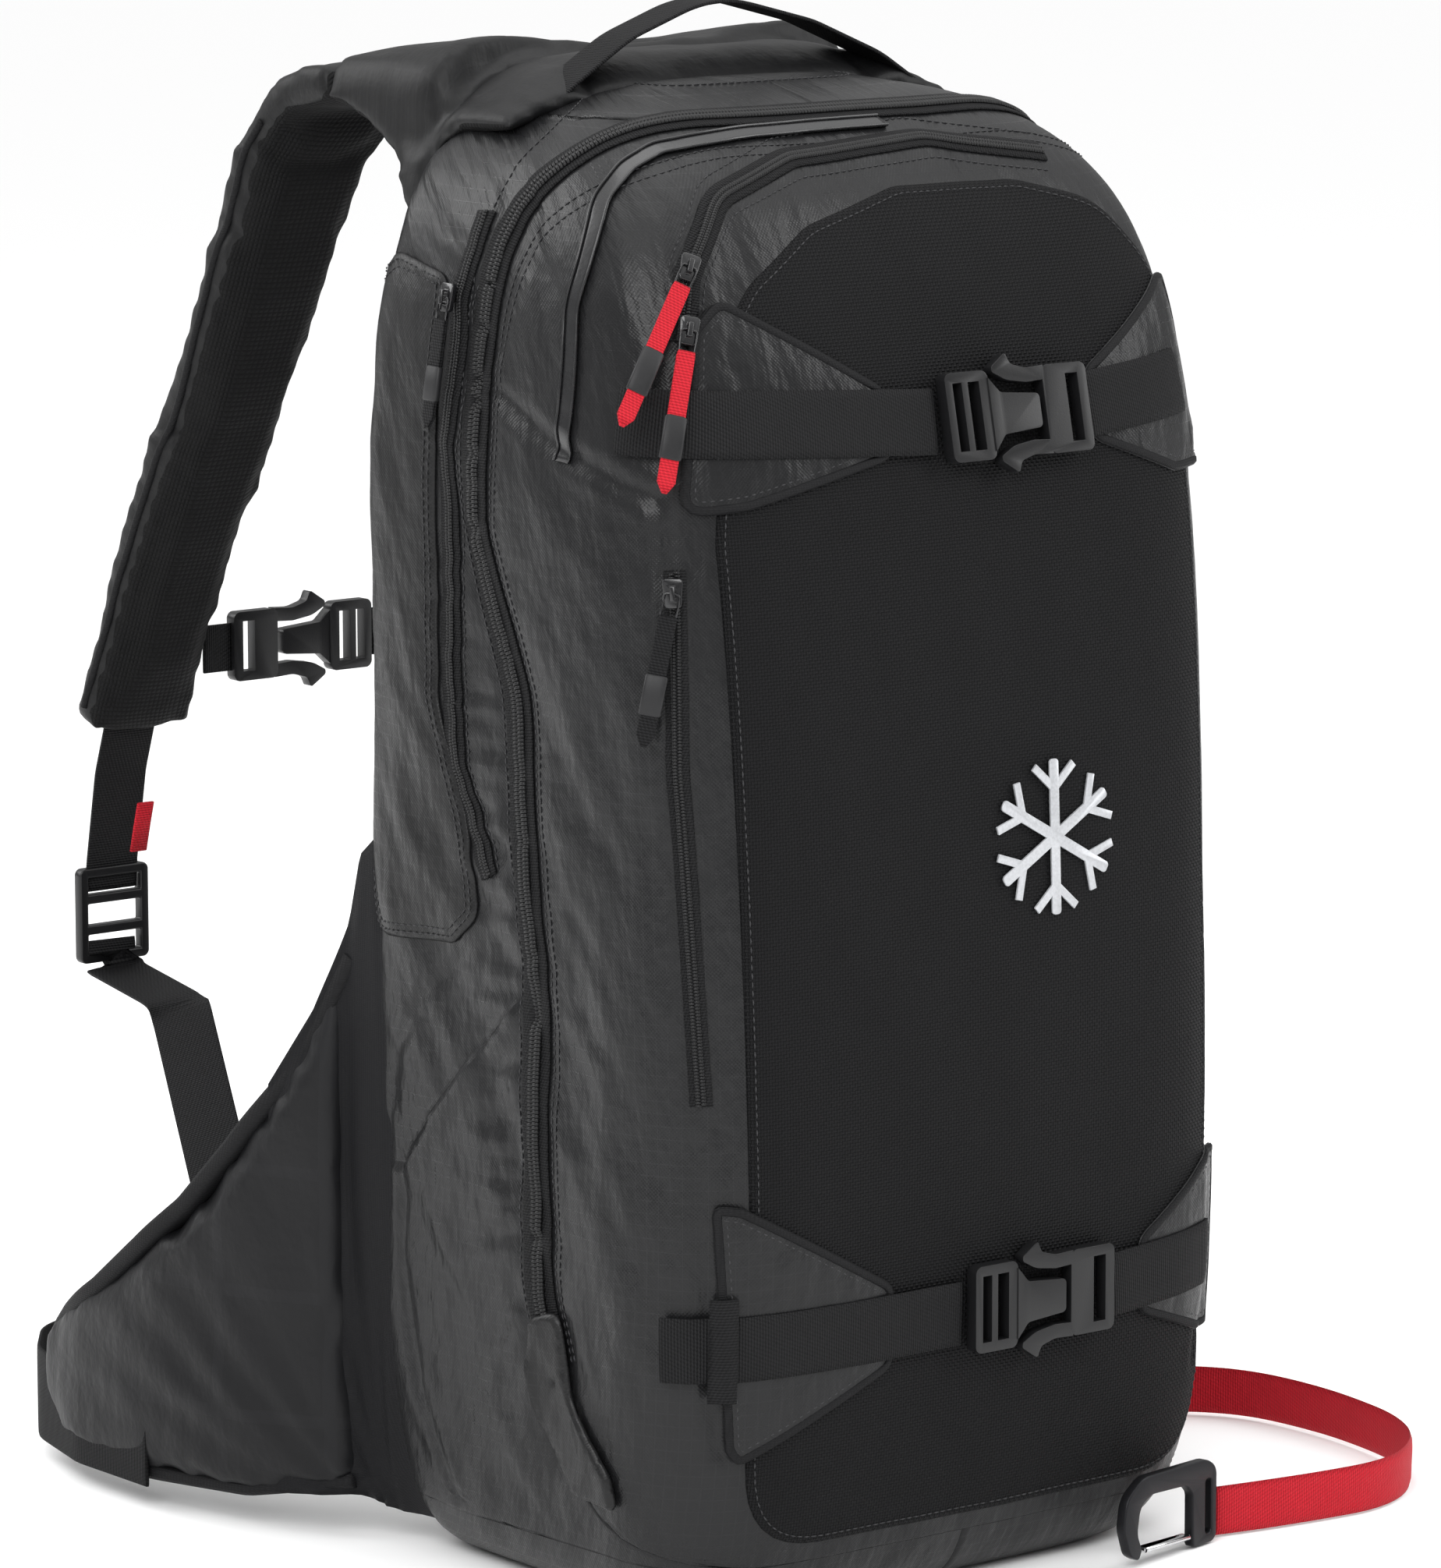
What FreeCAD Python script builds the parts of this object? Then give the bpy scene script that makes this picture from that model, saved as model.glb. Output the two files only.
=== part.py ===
import FreeCAD, Part
import math
import os

# Ski backpack, millimetres. +Z up, the front panel faces -Y, the harness and wearer are at +Y,
# the wearer's left is -X. The origin is the middle of the base, on the ground.

os.makedirs("parts", exist_ok=True)
V = FreeCAD.Vector

# ---- Driving dimensions -------------------------------------------------------------------
BAG_HEIGHT = 574.0
FRONT_POWER = 6.0        # squareness of the front corners of each level section
REAR_POWER = 8.0         # squareness of the back corners
SECTION_POINTS = 36      # points round one level section
# height, half width, front face, back face of the stuffed bag
LEVELS = [
    (0, 112, -78, 82), (12, 127, -92, 91), (35, 136, -101, 97), (80, 141, -106, 100),
    (160, 143, -108, 101), (300, 143, -105, 101), (400, 143, -98, 100), (460, 141, -88, 99),
    (500, 137, -76, 97), (530, 128, -60, 95), (552, 111, -38, 92), (566, 86, -10, 88),
    (574, 48, 22, 82),
]
WALL = 3.0               # stuffed fabric wall, rigid stand-in
LAY = 0.25               # air between one sewn layer and the next
FABRIC = 1.1             # one layer of panel fabric with its backing
WEB = 1.7                # thickness of webbing
WEB_25 = 25.0
WEB_38 = 38.0
WEB_20 = 20.0
ZIP_HALF = 7.5           # half width of a main zip's tape from the middle of its teeth
COIL_HALF = 3.2
FAR = 260.0              # further out than any part of the bag

# where the main zip runs, seen from the side: (y, z) from the top of the bag down to the base
MAIN_ZIP = [(-14, 600), (-14, 566), (12, 535), (20, 480), (18, 410), (-4, 350), (-16, 250),
            (-17, 120), (-40, 36), (-96, 22), (-130, 22)]
SEAM_STEP = V(0, -0.35, 0.35)       # gap between the two halves of the bag

FRONT_HINGE = V(0, -98, 24)
STRAP_TOP_Z = 453.0
STRAP_TOP_LEAN = 12.0    # degrees the front face leans back at the upper strap
STRAP_LOW_Z = 113.0
BUCKLE_X = 28.0


# ---- Outlines -----------------------------------------------------------------------------
def flat(points, plane, at=0.0):
    """2D points placed on the plane 'x', 'y' or 'z' (its normal) at one value."""
    if plane == "x":
        return [V(at, p[0], p[1]) for p in points]
    if plane == "y":
        return [V(p[0], at, p[1]) for p in points]
    return [V(p[0], p[1], at) for p in points]


def rounded_wire(pts, radius):
    """Closed wire through the points with every corner rounded."""
    count = len(pts)
    radii = radius if isinstance(radius, (list, tuple)) else [radius] * count
    cuts = []
    for i, corner in enumerate(pts):
        before = pts[i - 1] - corner
        after = pts[(i + 1) % count] - corner
        half = before.getAngle(after) / 2.0
        if radii[i] <= 0 or half > math.pi / 2 - 0.01:
            cuts.append((corner, None, corner))
            continue
        reach = radii[i] / math.tan(half)
        reach = min(reach, 0.48 * before.Length, 0.48 * after.Length)
        r = reach * math.tan(half)
        one = V(before).normalize()
        two = V(after).normalize()
        middle = V(one + two).normalize() * (r / math.sin(half) - r) + corner
        cuts.append((corner + one * reach, middle, corner + two * reach))
    edges = []
    for i, (start, middle, end) in enumerate(cuts):
        if middle is not None:
            edges.append(Part.Arc(start, middle, end).toShape())
        following = cuts[(i + 1) % count][0]
        if (following - end).Length > 1e-6:
            edges.append(Part.makeLine(end, following))
    return Part.Wire(edges)


def prism(points, plane, low, high, radius=0.0):
    """Closed outline seen along one axis, extruded along it from low to high."""
    face = Part.Face(rounded_wire(flat(points, plane, low), radius))
    step = {"x": V(1, 0, 0), "y": V(0, 1, 0), "z": V(0, 0, 1)}[plane]
    return face.extrude(step * (high - low))


def ribbon(path, half, radius=30.0, other=None):
    """Outline of a strip along a path: half is its half width on the left, other on the right."""
    other = half if other is None else other
    left = []
    right = []
    rounding_left = []
    rounding_right = []
    for i, (u, v) in enumerate(path):
        near = path[max(i - 1, 0)]
        far = path[min(i + 1, len(path) - 1)]
        into = (u - near[0], v - near[1])
        out = (far[0] - u, far[1] - v)
        if i == 0:
            into = out
        if i == len(path) - 1:
            out = into
        a = math.atan2(into[1], into[0])
        b = math.atan2(out[1], out[0])
        turn = (b - a + math.pi) % (2 * math.pi) - math.pi
        mid = a + turn / 2.0 + math.pi / 2.0
        stretch = 1.0 / math.cos(turn / 2.0)
        left.append((u + half * stretch * math.cos(mid), v + half * stretch * math.sin(mid)))
        right.append((u - other * stretch * math.cos(mid), v - other * stretch * math.sin(mid)))
        end = i in (0, len(path) - 1)
        side = math.copysign(1.0, turn)
        rounding_left.append(0 if end else max(radius - side * half, 1.0))
        rounding_right.append(0 if end else max(radius + side * other, 1.0))
    return left + right[::-1], rounding_left + rounding_right[::-1]


def strip(path, half, plane, low, high, radius=30.0, other=None):
    outline, rounding = ribbon(path, half, radius, other)
    return prism(outline, plane, low, high, rounding)


def box(x0, x1, y0, y1, z0, z1):
    return Part.makeBox(x1 - x0, y1 - y0, z1 - z0, V(x0, y0, z0))


def mirrored(shape):
    return shape.mirror(V(0, 0, 0), V(1, 0, 0))


# ---- The stuffed bag ----------------------------------------------------------------------
def section(level, offset):
    height, half, front, back = level
    middle = 0.35 * front + 0.65 * back
    lift = offset * (2.0 * height / BAG_HEIGHT - 1.0)
    points = []
    for i in range(SECTION_POINTS):
        angle = 2.0 * math.pi * (i + 0.5) / SECTION_POINTS
        c = math.cos(angle)
        s = math.sin(angle)
        power = FRONT_POWER if s < 0 else REAR_POWER
        depth = (middle - front if s < 0 else back - middle) + offset
        x = (half + offset) * math.copysign(abs(c) ** (2.0 / power), c)
        y = middle + depth * math.copysign(abs(s) ** (2.0 / power), s)
        points.append(V(x, y, height + lift))
    curve = Part.BSplineCurve()
    curve.interpolate(Points=points, PeriodicFlag=True)
    return Part.Wire([curve.toShape()])


LOFTS = {}


def bag(offset):
    """The stuffed bag grown or shrunk by an even offset."""
    key = round(offset, 3)
    if key not in LOFTS:
        LOFTS[key] = Part.makeLoft([section(level, offset) for level in LEVELS], True)
    return LOFTS[key]


def layer(inner, outer, region):
    """A sewn-on layer between two offsets of the bag, inside a region."""
    return bag(outer).common(region).cut(bag(inner))


def solid(shape):
    """The largest solid of a boolean's result."""
    return max(shape.Solids, key=lambda s: s.Volume)


PARTS = {}


def keep(name, shape):
    PARTS[name] = solid(shape)


# ---- Regions either side of the main zip ---------------------------------------------------
front_outline = MAIN_ZIP + [(-FAR, 22), (-FAR, 600)]
front_rounding = [0] + [40] * (len(MAIN_ZIP) - 3) + [0, 0, 0, 0]
front_region = prism(front_outline, "x", -FAR, FAR, front_rounding)
back_outline = MAIN_ZIP + [(-130, -40), (FAR, -40), (FAR, 600)]
back_rounding = [0] + [40] * (len(MAIN_ZIP) - 3) + [0, 0, 0, 0, 0]
back_region = prism(back_outline, "x", -FAR, FAR, back_rounding)
front_region.translate(SEAM_STEP)

wall = bag(0).cut(bag(-WALL))
base_shell = wall.common(back_region)
front_shell = wall.common(front_region)
keep("base_shell", base_shell)
keep("front_shell", front_shell)


# ---- Zips -----------------------------------------------------------------------------------
SMALL_ZIP_HALF = 5.5
SMALL_COIL_HALF = 2.6
TAPE_THICK = 0.9
SMALL_TEETH = 2.0        # height of a small zip's teeth
MAIN_TEETH = 2.65


def zip_layer(path, plane, low, high, half=SMALL_ZIP_HALF, radius=30.0):
    """Tape with a raised row of teeth along its middle."""
    tape = layer(LAY, LAY + TAPE_THICK, strip(path, half, plane, low, high, radius))
    teeth = layer(LAY, LAY + SMALL_TEETH, strip(path, SMALL_COIL_HALF, plane, low, high, radius))
    return tape.fuse(teeth)


teeth_path = MAIN_ZIP[:8] + [(-24, 92)]
rear_tape = strip(teeth_path, ZIP_HALF, "x", -FAR, FAR, 40.0).common(back_region)
rear_teeth = strip(teeth_path, COIL_HALF, "x", -FAR, FAR, 40.0).common(back_region)
front_tape = strip(teeth_path, ZIP_HALF, "x", -FAR, FAR, 40.0).common(front_region)
front_teeth = strip(teeth_path, COIL_HALF, "x", -FAR, FAR, 40.0).common(front_region)
for name, tape, teeth in (("main_zip_rear", rear_tape, rear_teeth),
                          ("main_zip_front", front_tape, front_teeth)):
    cloth = layer(LAY, LAY + TAPE_THICK, tape)
    keep(name, cloth.fuse(layer(LAY, LAY + MAIN_TEETH, teeth)))

AIRBAG_ZIP = [(30, 530), (36, 500), (38, 440), (35, 360), (30, 318), (12, 279)]
keep("airbag_zip", zip_layer(AIRBAG_ZIP, "x", -FAR, 0))

POCKET_ZIP = [(-116, 488), (-108, 512), (-84, 538), (-40, 550), (30, 554), (84, 546)]
keep("pocket_zip", zip_layer(POCKET_ZIP, "y", -FAR, 10, radius=18.0))

SIDE_ZIP = [(-83, 405), (-87, 330), (-95, 205)]
keep("side_zip", zip_layer(SIDE_ZIP, "x", -FAR, 0, half=4.5))


# ---- Panels sewn on the bag -----------------------------------------------------------------
FLAP = [(43, 505), (45, 430), (41, 345), (24, 292), (20, 262), (34, 250), (82, 247), (96, 280),
        (96, 500), (80, 512)]
FLAP_THICK = 1.6
ZIP_CLEAR = 5.9          # half width left free for a small zip
flap = layer(LAY, LAY + FLAP_THICK, prism(FLAP, "x", -FAR, 0, 8.0))
keep("side_flap", flap.cut(strip(AIRBAG_ZIP, ZIP_CLEAR, "x", -FAR, 0)))

GARAGE = [(-29, 118), (-12, 112), (-9, 92), (-14, 74), (-34, 46), (-60, 44), (-58, 58), (-36, 84)]
keep("zip_garage", layer(3.4, 4.6, prism(GARAGE, "x", -FAR, 0, 5.0)))

FRONT_PANEL = [(-108, 30), (-109, 172), (-111, 283), (-114, 414), (-104, 486), (-84, 507),
               (-50, 526), (0, 538), (60, 538), (98, 528), (122, 500), (124, 30)]
PANEL_ROUND = [8, 60, 60, 40, 30, 30, 40, 40, 40, 30, 30, 8]
keep("front_panel", layer(LAY, LAY + FABRIC, prism(FRONT_PANEL, "y", -FAR, -30, PANEL_ROUND)))

STRIP_PATH = [(-33, 440), (-32, 500), (-29, 538), (-22, 590)]
coated = layer(LAY, LAY + FABRIC, strip(STRIP_PATH, 3.5, "x", -FAR, 80))
keep("coated_strip", coated.cut(strip(POCKET_ZIP, ZIP_CLEAR, "y", -FAR, 10, 18.0)))

# bound fabric wings that spread the straps' pull
TOP_WING_LEFT = [(-150, 500), (-104, 502), (-32, 466), (-32, 440), (-104, 428), (-150, 430)]
TOP_WING_RIGHT = [(150, 500), (118, 498), (66, 466), (66, 440), (110, 424), (150, 424)]
LOW_WING_LEFT = [(-150, 170), (-120, 168), (-44, 128), (-44, 96), (-112, 72), (-150, 78)]
LOW_WING_RIGHT = [(150, 158), (128, 156), (80, 128), (80, 98), (122, 84), (150, 84)]
WING_IN = LAY + FABRIC + LAY
WING_OUT = WING_IN + FABRIC
top_wing = layer(WING_IN, WING_OUT, prism(TOP_WING_LEFT, "y", -FAR, -58, 6.0))
keep("top_wing_left", top_wing.cut(strip(POCKET_ZIP, COIL_HALF, "y", -FAR, 10, 18.0)))
keep("top_wing_right", layer(WING_IN, WING_OUT, prism(TOP_WING_RIGHT, "y", -FAR, -58, 6.0)))
keep("low_wing_left", layer(WING_IN, WING_OUT, prism(LOW_WING_LEFT, "y", -FAR, -86, 6.0)))
keep("low_wing_right", layer(WING_IN, WING_OUT, prism(LOW_WING_RIGHT, "y", -FAR, -86, 6.0)))

# compression straps
STRAP_IN = WING_OUT + LAY
STRAP_OUT = STRAP_IN + WEB


def strap_band(x0, x1, z_left, z_right, y_back):
    half = WEB_25 / 2.0
    outline = [(x0, z_left - half), (x1, z_right - half), (x1, z_right + half), (x0, z_left + half)]
    return layer(STRAP_IN, STRAP_OUT, prism(outline, "y", -FAR, y_back, 1.0))


BAR_LEFT = -12.0         # where the left webbing ends, at the ladder bar
BAR_RIGHT = 64.0
keep("top_strap_left", strap_band(-160, BAR_LEFT, 460, 452, -60))
keep("top_strap_right", strap_band(BAR_RIGHT, 118, 453, 458, -60))
keep("low_strap_left", strap_band(-160, BAR_LEFT, 112, 112, -82))
keep("low_strap_right", strap_band(BAR_RIGHT, 122, 112, 116, -82))


# ---- Side-release buckles --------------------------------------------------------------------
def frame_plate(x0, x1, half, rail, thick, slots):
    """Ladder frame in the XZ plane, its back on y = 0, with slots for the webbing."""
    body = box(x0, x1, -thick, 0, -half, half)
    corners = [e for e in body.Edges if abs(e.tangentAt(e.FirstParameter).y) > 0.99]
    body = body.makeFillet(3.0, corners)
    for s0, s1 in slots:
        body = body.cut(box(s0, s1, -thick - 1, 1, -half + rail, half - rail))
    return body


def buckle_female(web):
    """Webbing frame and flat tongue plate; the joint line is x = 0."""
    half = web / 2.0 + 4.5
    frame = frame_plate(-36, -15, half, 4.0, 5.5, [(-32.5, -28), (-25, -19.5)])
    root = half - 3.0
    tip = web * 0.26
    plate = prism([(-15.2, -root), (-10, -tip - 1.5), (9, -tip), (9, tip), (-10, tip + 1.5),
                   (-15.2, root)], "y", -6.0, -0.5, [0, 3, 2, 2, 3, 0])
    return frame.fuse(plate)


def buckle_male(web):
    """Webbing bar and two sprung arms that pass above and below the tongue plate."""
    half = web / 2.0 + 4.5
    frame = frame_plate(12, 34, half, 4.0, 5.5, [(23.5, 29.5)])
    arm = [(13, half - 5.5), (4, half - 6.0), (-6, half - 4.5), (-12.5, half - 1.0),
           (-12.5, half + 1.0), (-5, half + 6.0), (-3, half + 1.5), (4, half - 0.5), (13, half)]
    rounding = [0, 12, 12, 1.5, 1.5, 1, 3, 10, 0]
    up = prism(arm, "y", -5.5, -0.5, rounding)
    down = up.mirror(V(0, 0, 0), V(0, 0, 1))
    return frame.fuse(up).fuse(down)


def place(shape, at, lean=0.0, facing=0.0):
    moved = shape.copy()
    moved.rotate(V(0, 0, 0), V(0, 0, 1), facing)
    moved.rotate(V(0, 0, 0), V(1, 0, 0), lean)
    moved.translate(at)
    return moved


top_at = V(BUCKLE_X, -92.6, STRAP_TOP_Z)
low_at = V(BUCKLE_X, -109.8, STRAP_LOW_Z)
keep("top_buckle_female", place(buckle_female(WEB_25), top_at, -STRAP_TOP_LEAN))
keep("top_buckle_male", place(buckle_male(WEB_25), top_at, -STRAP_TOP_LEAN))
keep("low_buckle_female", place(buckle_female(WEB_25), low_at))
keep("low_buckle_male", place(buckle_male(WEB_25), low_at))


# ---- Zip sliders and pulls --------------------------------------------------------------------
SLIDE_LOW = 2.5          # underside of a small slider above the bag's surface
SLIDE_TOP = 4.7
BRIDGE = 2.4             # height of the bridge over the slider
BRIDGE_GAP = 1.5         # opening under the bridge for the pull's loop
PIVOT = SLIDE_TOP + BRIDGE_GAP / 2.0


def slider(lift=0.0, length=11.0, width=8.0):
    """Slider body over the teeth, length along Z, outward along -Y, with its bridge."""
    foot = -length / 2.0
    head = length / 2.0
    body = prism([(-width / 2 + 1.0, foot), (width / 2 - 1.0, foot), (width / 2, head),
                  (-width / 2, head)], "y", -SLIDE_TOP - lift, -SLIDE_LOW - lift, 1.6)
    bridge = box(-1.0, 1.0, -SLIDE_TOP - BRIDGE - lift, -SLIDE_TOP + 0.2 - lift, -2.8, 2.8)
    gap = box(-2, 2, -SLIDE_TOP - BRIDGE_GAP - lift, -SLIDE_TOP - lift, -2.0, 2.0)
    return body.fuse(bridge.cut(gap))


def pull(length, width=7.0):
    """Wire loop, short webbing and moulded sleeve hanging down from the pivot at the origin."""
    loop = box(-3.4, 3.4, -0.3, 0.3, -9.0, 0.3).cut(box(-2.7, 2.7, -1, 1, -8.4, -0.3))
    cord = box(-width / 2, width / 2, -0.6, 0.6, -length, -8.8)
    sleeve = box(-width / 2 - 0.6, width / 2 + 0.6, -1.4, 1.4, -0.82 * length, -0.55 * length)
    return loop.fuse(cord).fuse(sleeve)


def touch(x=None, y=None, z=0.0, offset=0.0):
    """Point on the grown bag: give z and x for the front face, or z and y for the left side."""
    if y is None:
        ray = Part.makeLine(V(x, -FAR, z), V(x, 25, z))
        return min((v.Point for v in ray.common(bag(offset)).Vertexes), key=lambda p: p.y)
    ray = Part.makeLine(V(-FAR, y, z), V(0, y, z))
    return min((v.Point for v in ray.common(bag(offset)).Vertexes), key=lambda p: p.x)


def outward(x=None, y=None, z=0.0):
    """Outward normal of the bag at a touch point."""
    here = touch(x, y, z)
    above = touch(x, y, z + 2.0)
    beside = touch(x + 2.0, None, z) if y is None else touch(None, y - 2.0, z)
    return here, V(beside - here).cross(above - here).normalize()


def seat(shape, at, normal, up):
    """Local -Y goes to the normal and local Z towards up."""
    out = V(normal).normalize()
    side = V(up).cross(out).normalize()
    rise = V(out).cross(side)
    turn = FreeCAD.Matrix(side.x, -out.x, rise.x, at.x, side.y, -out.y, rise.y, at.y,
                          side.z, -out.z, rise.z, at.z, 0, 0, 0, 1)
    return shape.transformed(turn)


MOTION = {}


def zipper(name, at, normal, along, hang, length, lift=0.0):
    """Seat a slider and its hanging pull; note the slide and the pull's pivot."""
    out = V(normal).normalize()
    run = V(along - out * along.dot(out)).normalize()
    keep(name + "_slider", seat(slider(lift), at, out, run))
    pivot = at + out * (PIVOT + lift)
    MOTION[name + "_slide"] = (at, run)
    if length:
        drop = V(hang - pivot).normalize()
        face = V(out - drop * out.dot(drop)).normalize()
        keep(name + "_pull", seat(pull(length), pivot, face, drop * -1.0))
        MOTION[name + "_pull_swing"] = (pivot, V(drop * -1.0).cross(face))


AHEAD = V(-0.62, -0.77, 0.16)    # the way a pull stands off the rounded front-left corner
SMALL_LIFT = 0.8         # how far each slider rides above its seat on the curved cloth
UPPER_LIFT = 1.5
LOWER_LIFT = 1.3

at, normal = outward(y=37.0, z=497.0)
low = touch(y=39.0, z=446.0, offset=9.0)
zipper("airbag_zip", at, normal, V(0, -1, 50), low, 50.0, SMALL_LIFT)

at, normal = outward(x=-108.2, z=512.5)
hang = V(-135.9, -61.2, 453.5) + AHEAD * 28.0
zipper("pocket_upper", at, normal, V(9, 0, 22), hang, 70.0, UPPER_LIFT)
at, normal = outward(x=-114.0, z=491.0)
hang = V(-128.1, -78.1, 432.8) + AHEAD * 15.5
zipper("pocket_lower", at, normal, V(6, 0, 24), hang, 63.0, LOWER_LIFT)

at, normal = outward(y=-83.4, z=397.0)
low = touch(y=-83, z=330, offset=9.0)
zipper("side_zip", at, normal, V(0, 4, 75), low, 58.0, SMALL_LIFT)

# the main zip's slider is parked low on the right side
at, normal = outward(y=-16.6, z=150.0)
left_slider = seat(slider(0.8, 16.0, 12.0), at, normal, V(0, -1, 100))
keep("main_zip_slider", mirrored(left_slider))
MOTION["main_zip_slide"] = (V(-at.x, at.y, at.z), V(0, 0.01, 1.0))


# ---- Harness ------------------------------------------------------------------------------------
YOKE_SIDE = [(40, 552), (40, 592), (110, 585), (165, 577.5), (165, 562), (140, 556), (118, 543),
             (106, 520), (101, 496), (60, 496)]
YOKE_BACK = [(-114, 490), (-114, 530), (-104, 586), (104, 586), (114, 530), (114, 490)]
neck = prism([(-40, 112), (-26, 190), (26, 190), (40, 112)], "z", 400, 700, [30, 0, 0, 30])
under_collar = box(-44, 44, 104, 200, 480, 560)
yoke_block = prism(YOKE_SIDE, "x", -FAR, FAR, [0, 0, 20, 0, 0, 20, 20, 20, 0, 0])
yoke_block = yoke_block.common(prism(YOKE_BACK, "y", 0, FAR, [0, 40, 26, 26, 40, 0]))
yoke_tail = yoke_block.common(box(-FAR, FAR, 97, FAR, 400, 700)).cut(bag(LAY))
yoke_top = layer(LAY, 4.2, prism([(-112, 38), (112, 38), (112, 99), (-112, 99)], "z", 520, 600, 6))
yoke = yoke_tail.fuse(yoke_top).cut(neck).cut(under_collar)
keep("yoke", yoke)

PAD_HALF = 8.0
PAD_SIDE = [(165.4, 569.5), (196, 566), (218, 540), (235, 490), (258, 437), (295, 362), (321, 297)]
PAD_FRONT = [(-44, 590), (-46, 560), (-57, 490), (-64, 400), (-74, 300), (-76, 288), (-122, 288),
             (-125, 300), (-121, 400), (-117, 490), (-108, 560), (-104, 590)]
pad_outline, pad_rounding = ribbon(PAD_SIDE, PAD_HALF, 34.0)
pad = prism(pad_outline, "x", -FAR, 0, pad_rounding)
pad = pad.common(prism(PAD_FRONT, "y", 0, FAR + 160, [0, 40, 60, 60, 20, 14, 14, 20, 60, 60, 40, 0]))
TAIL_SIDE = [(317, 306), (328, 275), (335.5, 236)]
tail = strip(TAIL_SIDE, 1.6, "x", -FAR, 0, 30.0)
tail = tail.common(prism([(-86, 320), (-86.5, 230), (-111.5, 230), (-112, 320)], "y", 0, 500))
shoulder_strap = solid(pad.fuse(tail).cut(yoke))
keep("shoulder_strap_left", shoulder_strap)
keep("shoulder_strap_right", mirrored(shoulder_strap))

LOCK_AT = V(-99, 338.5, 214)
lock = frame_plate(-20, 20, 17.0, 4.0, 5.0, [(-16, -9), (-5, 4), (8, 16)])
lock.rotate(V(0, 0, 0), V(0, 1, 0), 90)
lock.translate(LOCK_AT)
keep("ladder_lock_left", lock)
keep("ladder_lock_right", mirrored(lock))

lower_side = strip([(334, 191.5), (274, 186), (190, 126)], WEB / 2, "x", -FAR, 0, 40.0)
lower_plan = strip([(-99, 345), (-108, 274), (-149, 180)], WEB_25 / 2, "z", 0, 300, 60.0)
lower_webbing = solid(lower_side.common(lower_plan))
keep("lower_webbing_left", lower_webbing)
keep("lower_webbing_right", mirrored(lower_webbing))

# sternum strap between the pads
STERNUM_X = -22.0
STERNUM_Y = 309.0
STERNUM_Z = 325.0
chest_male = place(buckle_male(WEB_20), V(0, 0, 0), 0, 180)
chest_female = place(buckle_female(WEB_20), V(0, 0, 0), 0, 180)
sternum_at = V(STERNUM_X, STERNUM_Y - 2.8, STERNUM_Z)
chest_male.translate(sternum_at)
chest_female.translate(sternum_at)
keep("sternum_buckle_male", chest_male)
keep("sternum_buckle_female", chest_female)
half = WEB_20 / 2
y0 = STERNUM_Y - WEB / 2
y1 = STERNUM_Y + WEB / 2
keep("sternum_webbing_left", box(-69.6, -58, y0, y1, STERNUM_Z - half, STERNUM_Z + half))
keep("sternum_webbing_right", box(16, 69.6, y0, y1, STERNUM_Z - half, STERNUM_Z + half))

# hip wings and belt
WING_PLAN = [(-138, 106), (-160, 150), (-172, 200), (-172, 245), (-160, 284)]
WING_SIDE = [(105, 24), (105, 236), (118, 208), (135, 180), (155, 155), (180, 128), (205, 108),
             (235, 86), (262, 70), (282, 56), (286, 38), (266, 16), (225, 12), (150, 14)]
WING_ROUND = [4, 4, 40, 60, 60, 60, 60, 40, 30, 12, 14, 20, 60, 60]
wing = strip(WING_PLAN, 5.0, "z", 0, 300, 60.0).common(prism(WING_SIDE, "x", -FAR, 0, WING_ROUND))
wing = solid(wing)
keep("hip_wing_left", wing)
keep("hip_wing_right", mirrored(wing))

BELT_PLAN = [(-179.4, 196), (-179.4, 246), (-168, 292), (-146, 322), (-106, 338), (-38, 340)]
belt = strip(BELT_PLAN, WEB / 2, "z", 9, 9 + WEB_38, 40.0)
keep("hip_webbing_left", belt)
keep("hip_webbing_right", mirrored(belt))
belt_at = V(0, 337.2, 9 + WEB_38 / 2)
keep("hip_buckle_male", place(buckle_male(WEB_38), belt_at, 0, 180))
keep("hip_buckle_female", place(buckle_female(WEB_38), belt_at, 0, 180))

pad_outline = [(-116, 62), (-120, 120), (-108, 300), (-104, 486), (104, 486), (108, 300),
               (120, 120), (116, 62)]
channel = prism([(-13, 130), (-13, 440), (13, 440), (13, 130)], "y", 40, FAR, 12.0)
back_pad = layer(LAY, 9.0, prism(pad_outline, "y", 60, FAR, [20, 40, 60, 20, 20, 60, 40, 20]))
keep("back_pad", back_pad.cut(channel))

# grab handle
HANDLE = [(-92, 562), (-78, 574), (-50, 591), (-8, 606), (40, 594), (74, 580), (112, 556)]
handle = strip(HANDLE, 0.9, "y", 42, 62, 60.0)
keep("grab_handle", handle.cut(bag(4.6)))


# ---- Inside the airbag compartment ---------------------------------------------------------------
inside = bag(-WALL - 0.5)
keep("divider_panel", inside.common(box(-FAR, FAR, 36.5, 39, 0, 600)))
keep("frame_sheet", prism([(-104, 40), (104, 40), (104, 500), (-104, 500)], "y", 88, 89.6, 20.0))
bladder = bag(-8).common(box(-FAR, FAR, 44, 82, 235, 600))
keep("airbag_bladder", bladder.cut(prism([(-80, 200), (-80, 450), (80, 450), (80, 200)], "y",
                                         0, FAR, [0, 30, 30, 0])))

BLOWER_Z = 330.0


def drum(radius, y0, y1):
    return Part.makeCylinder(radius, y1 - y0, V(0, y0, BLOWER_Z), V(0, 1, 0))


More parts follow.
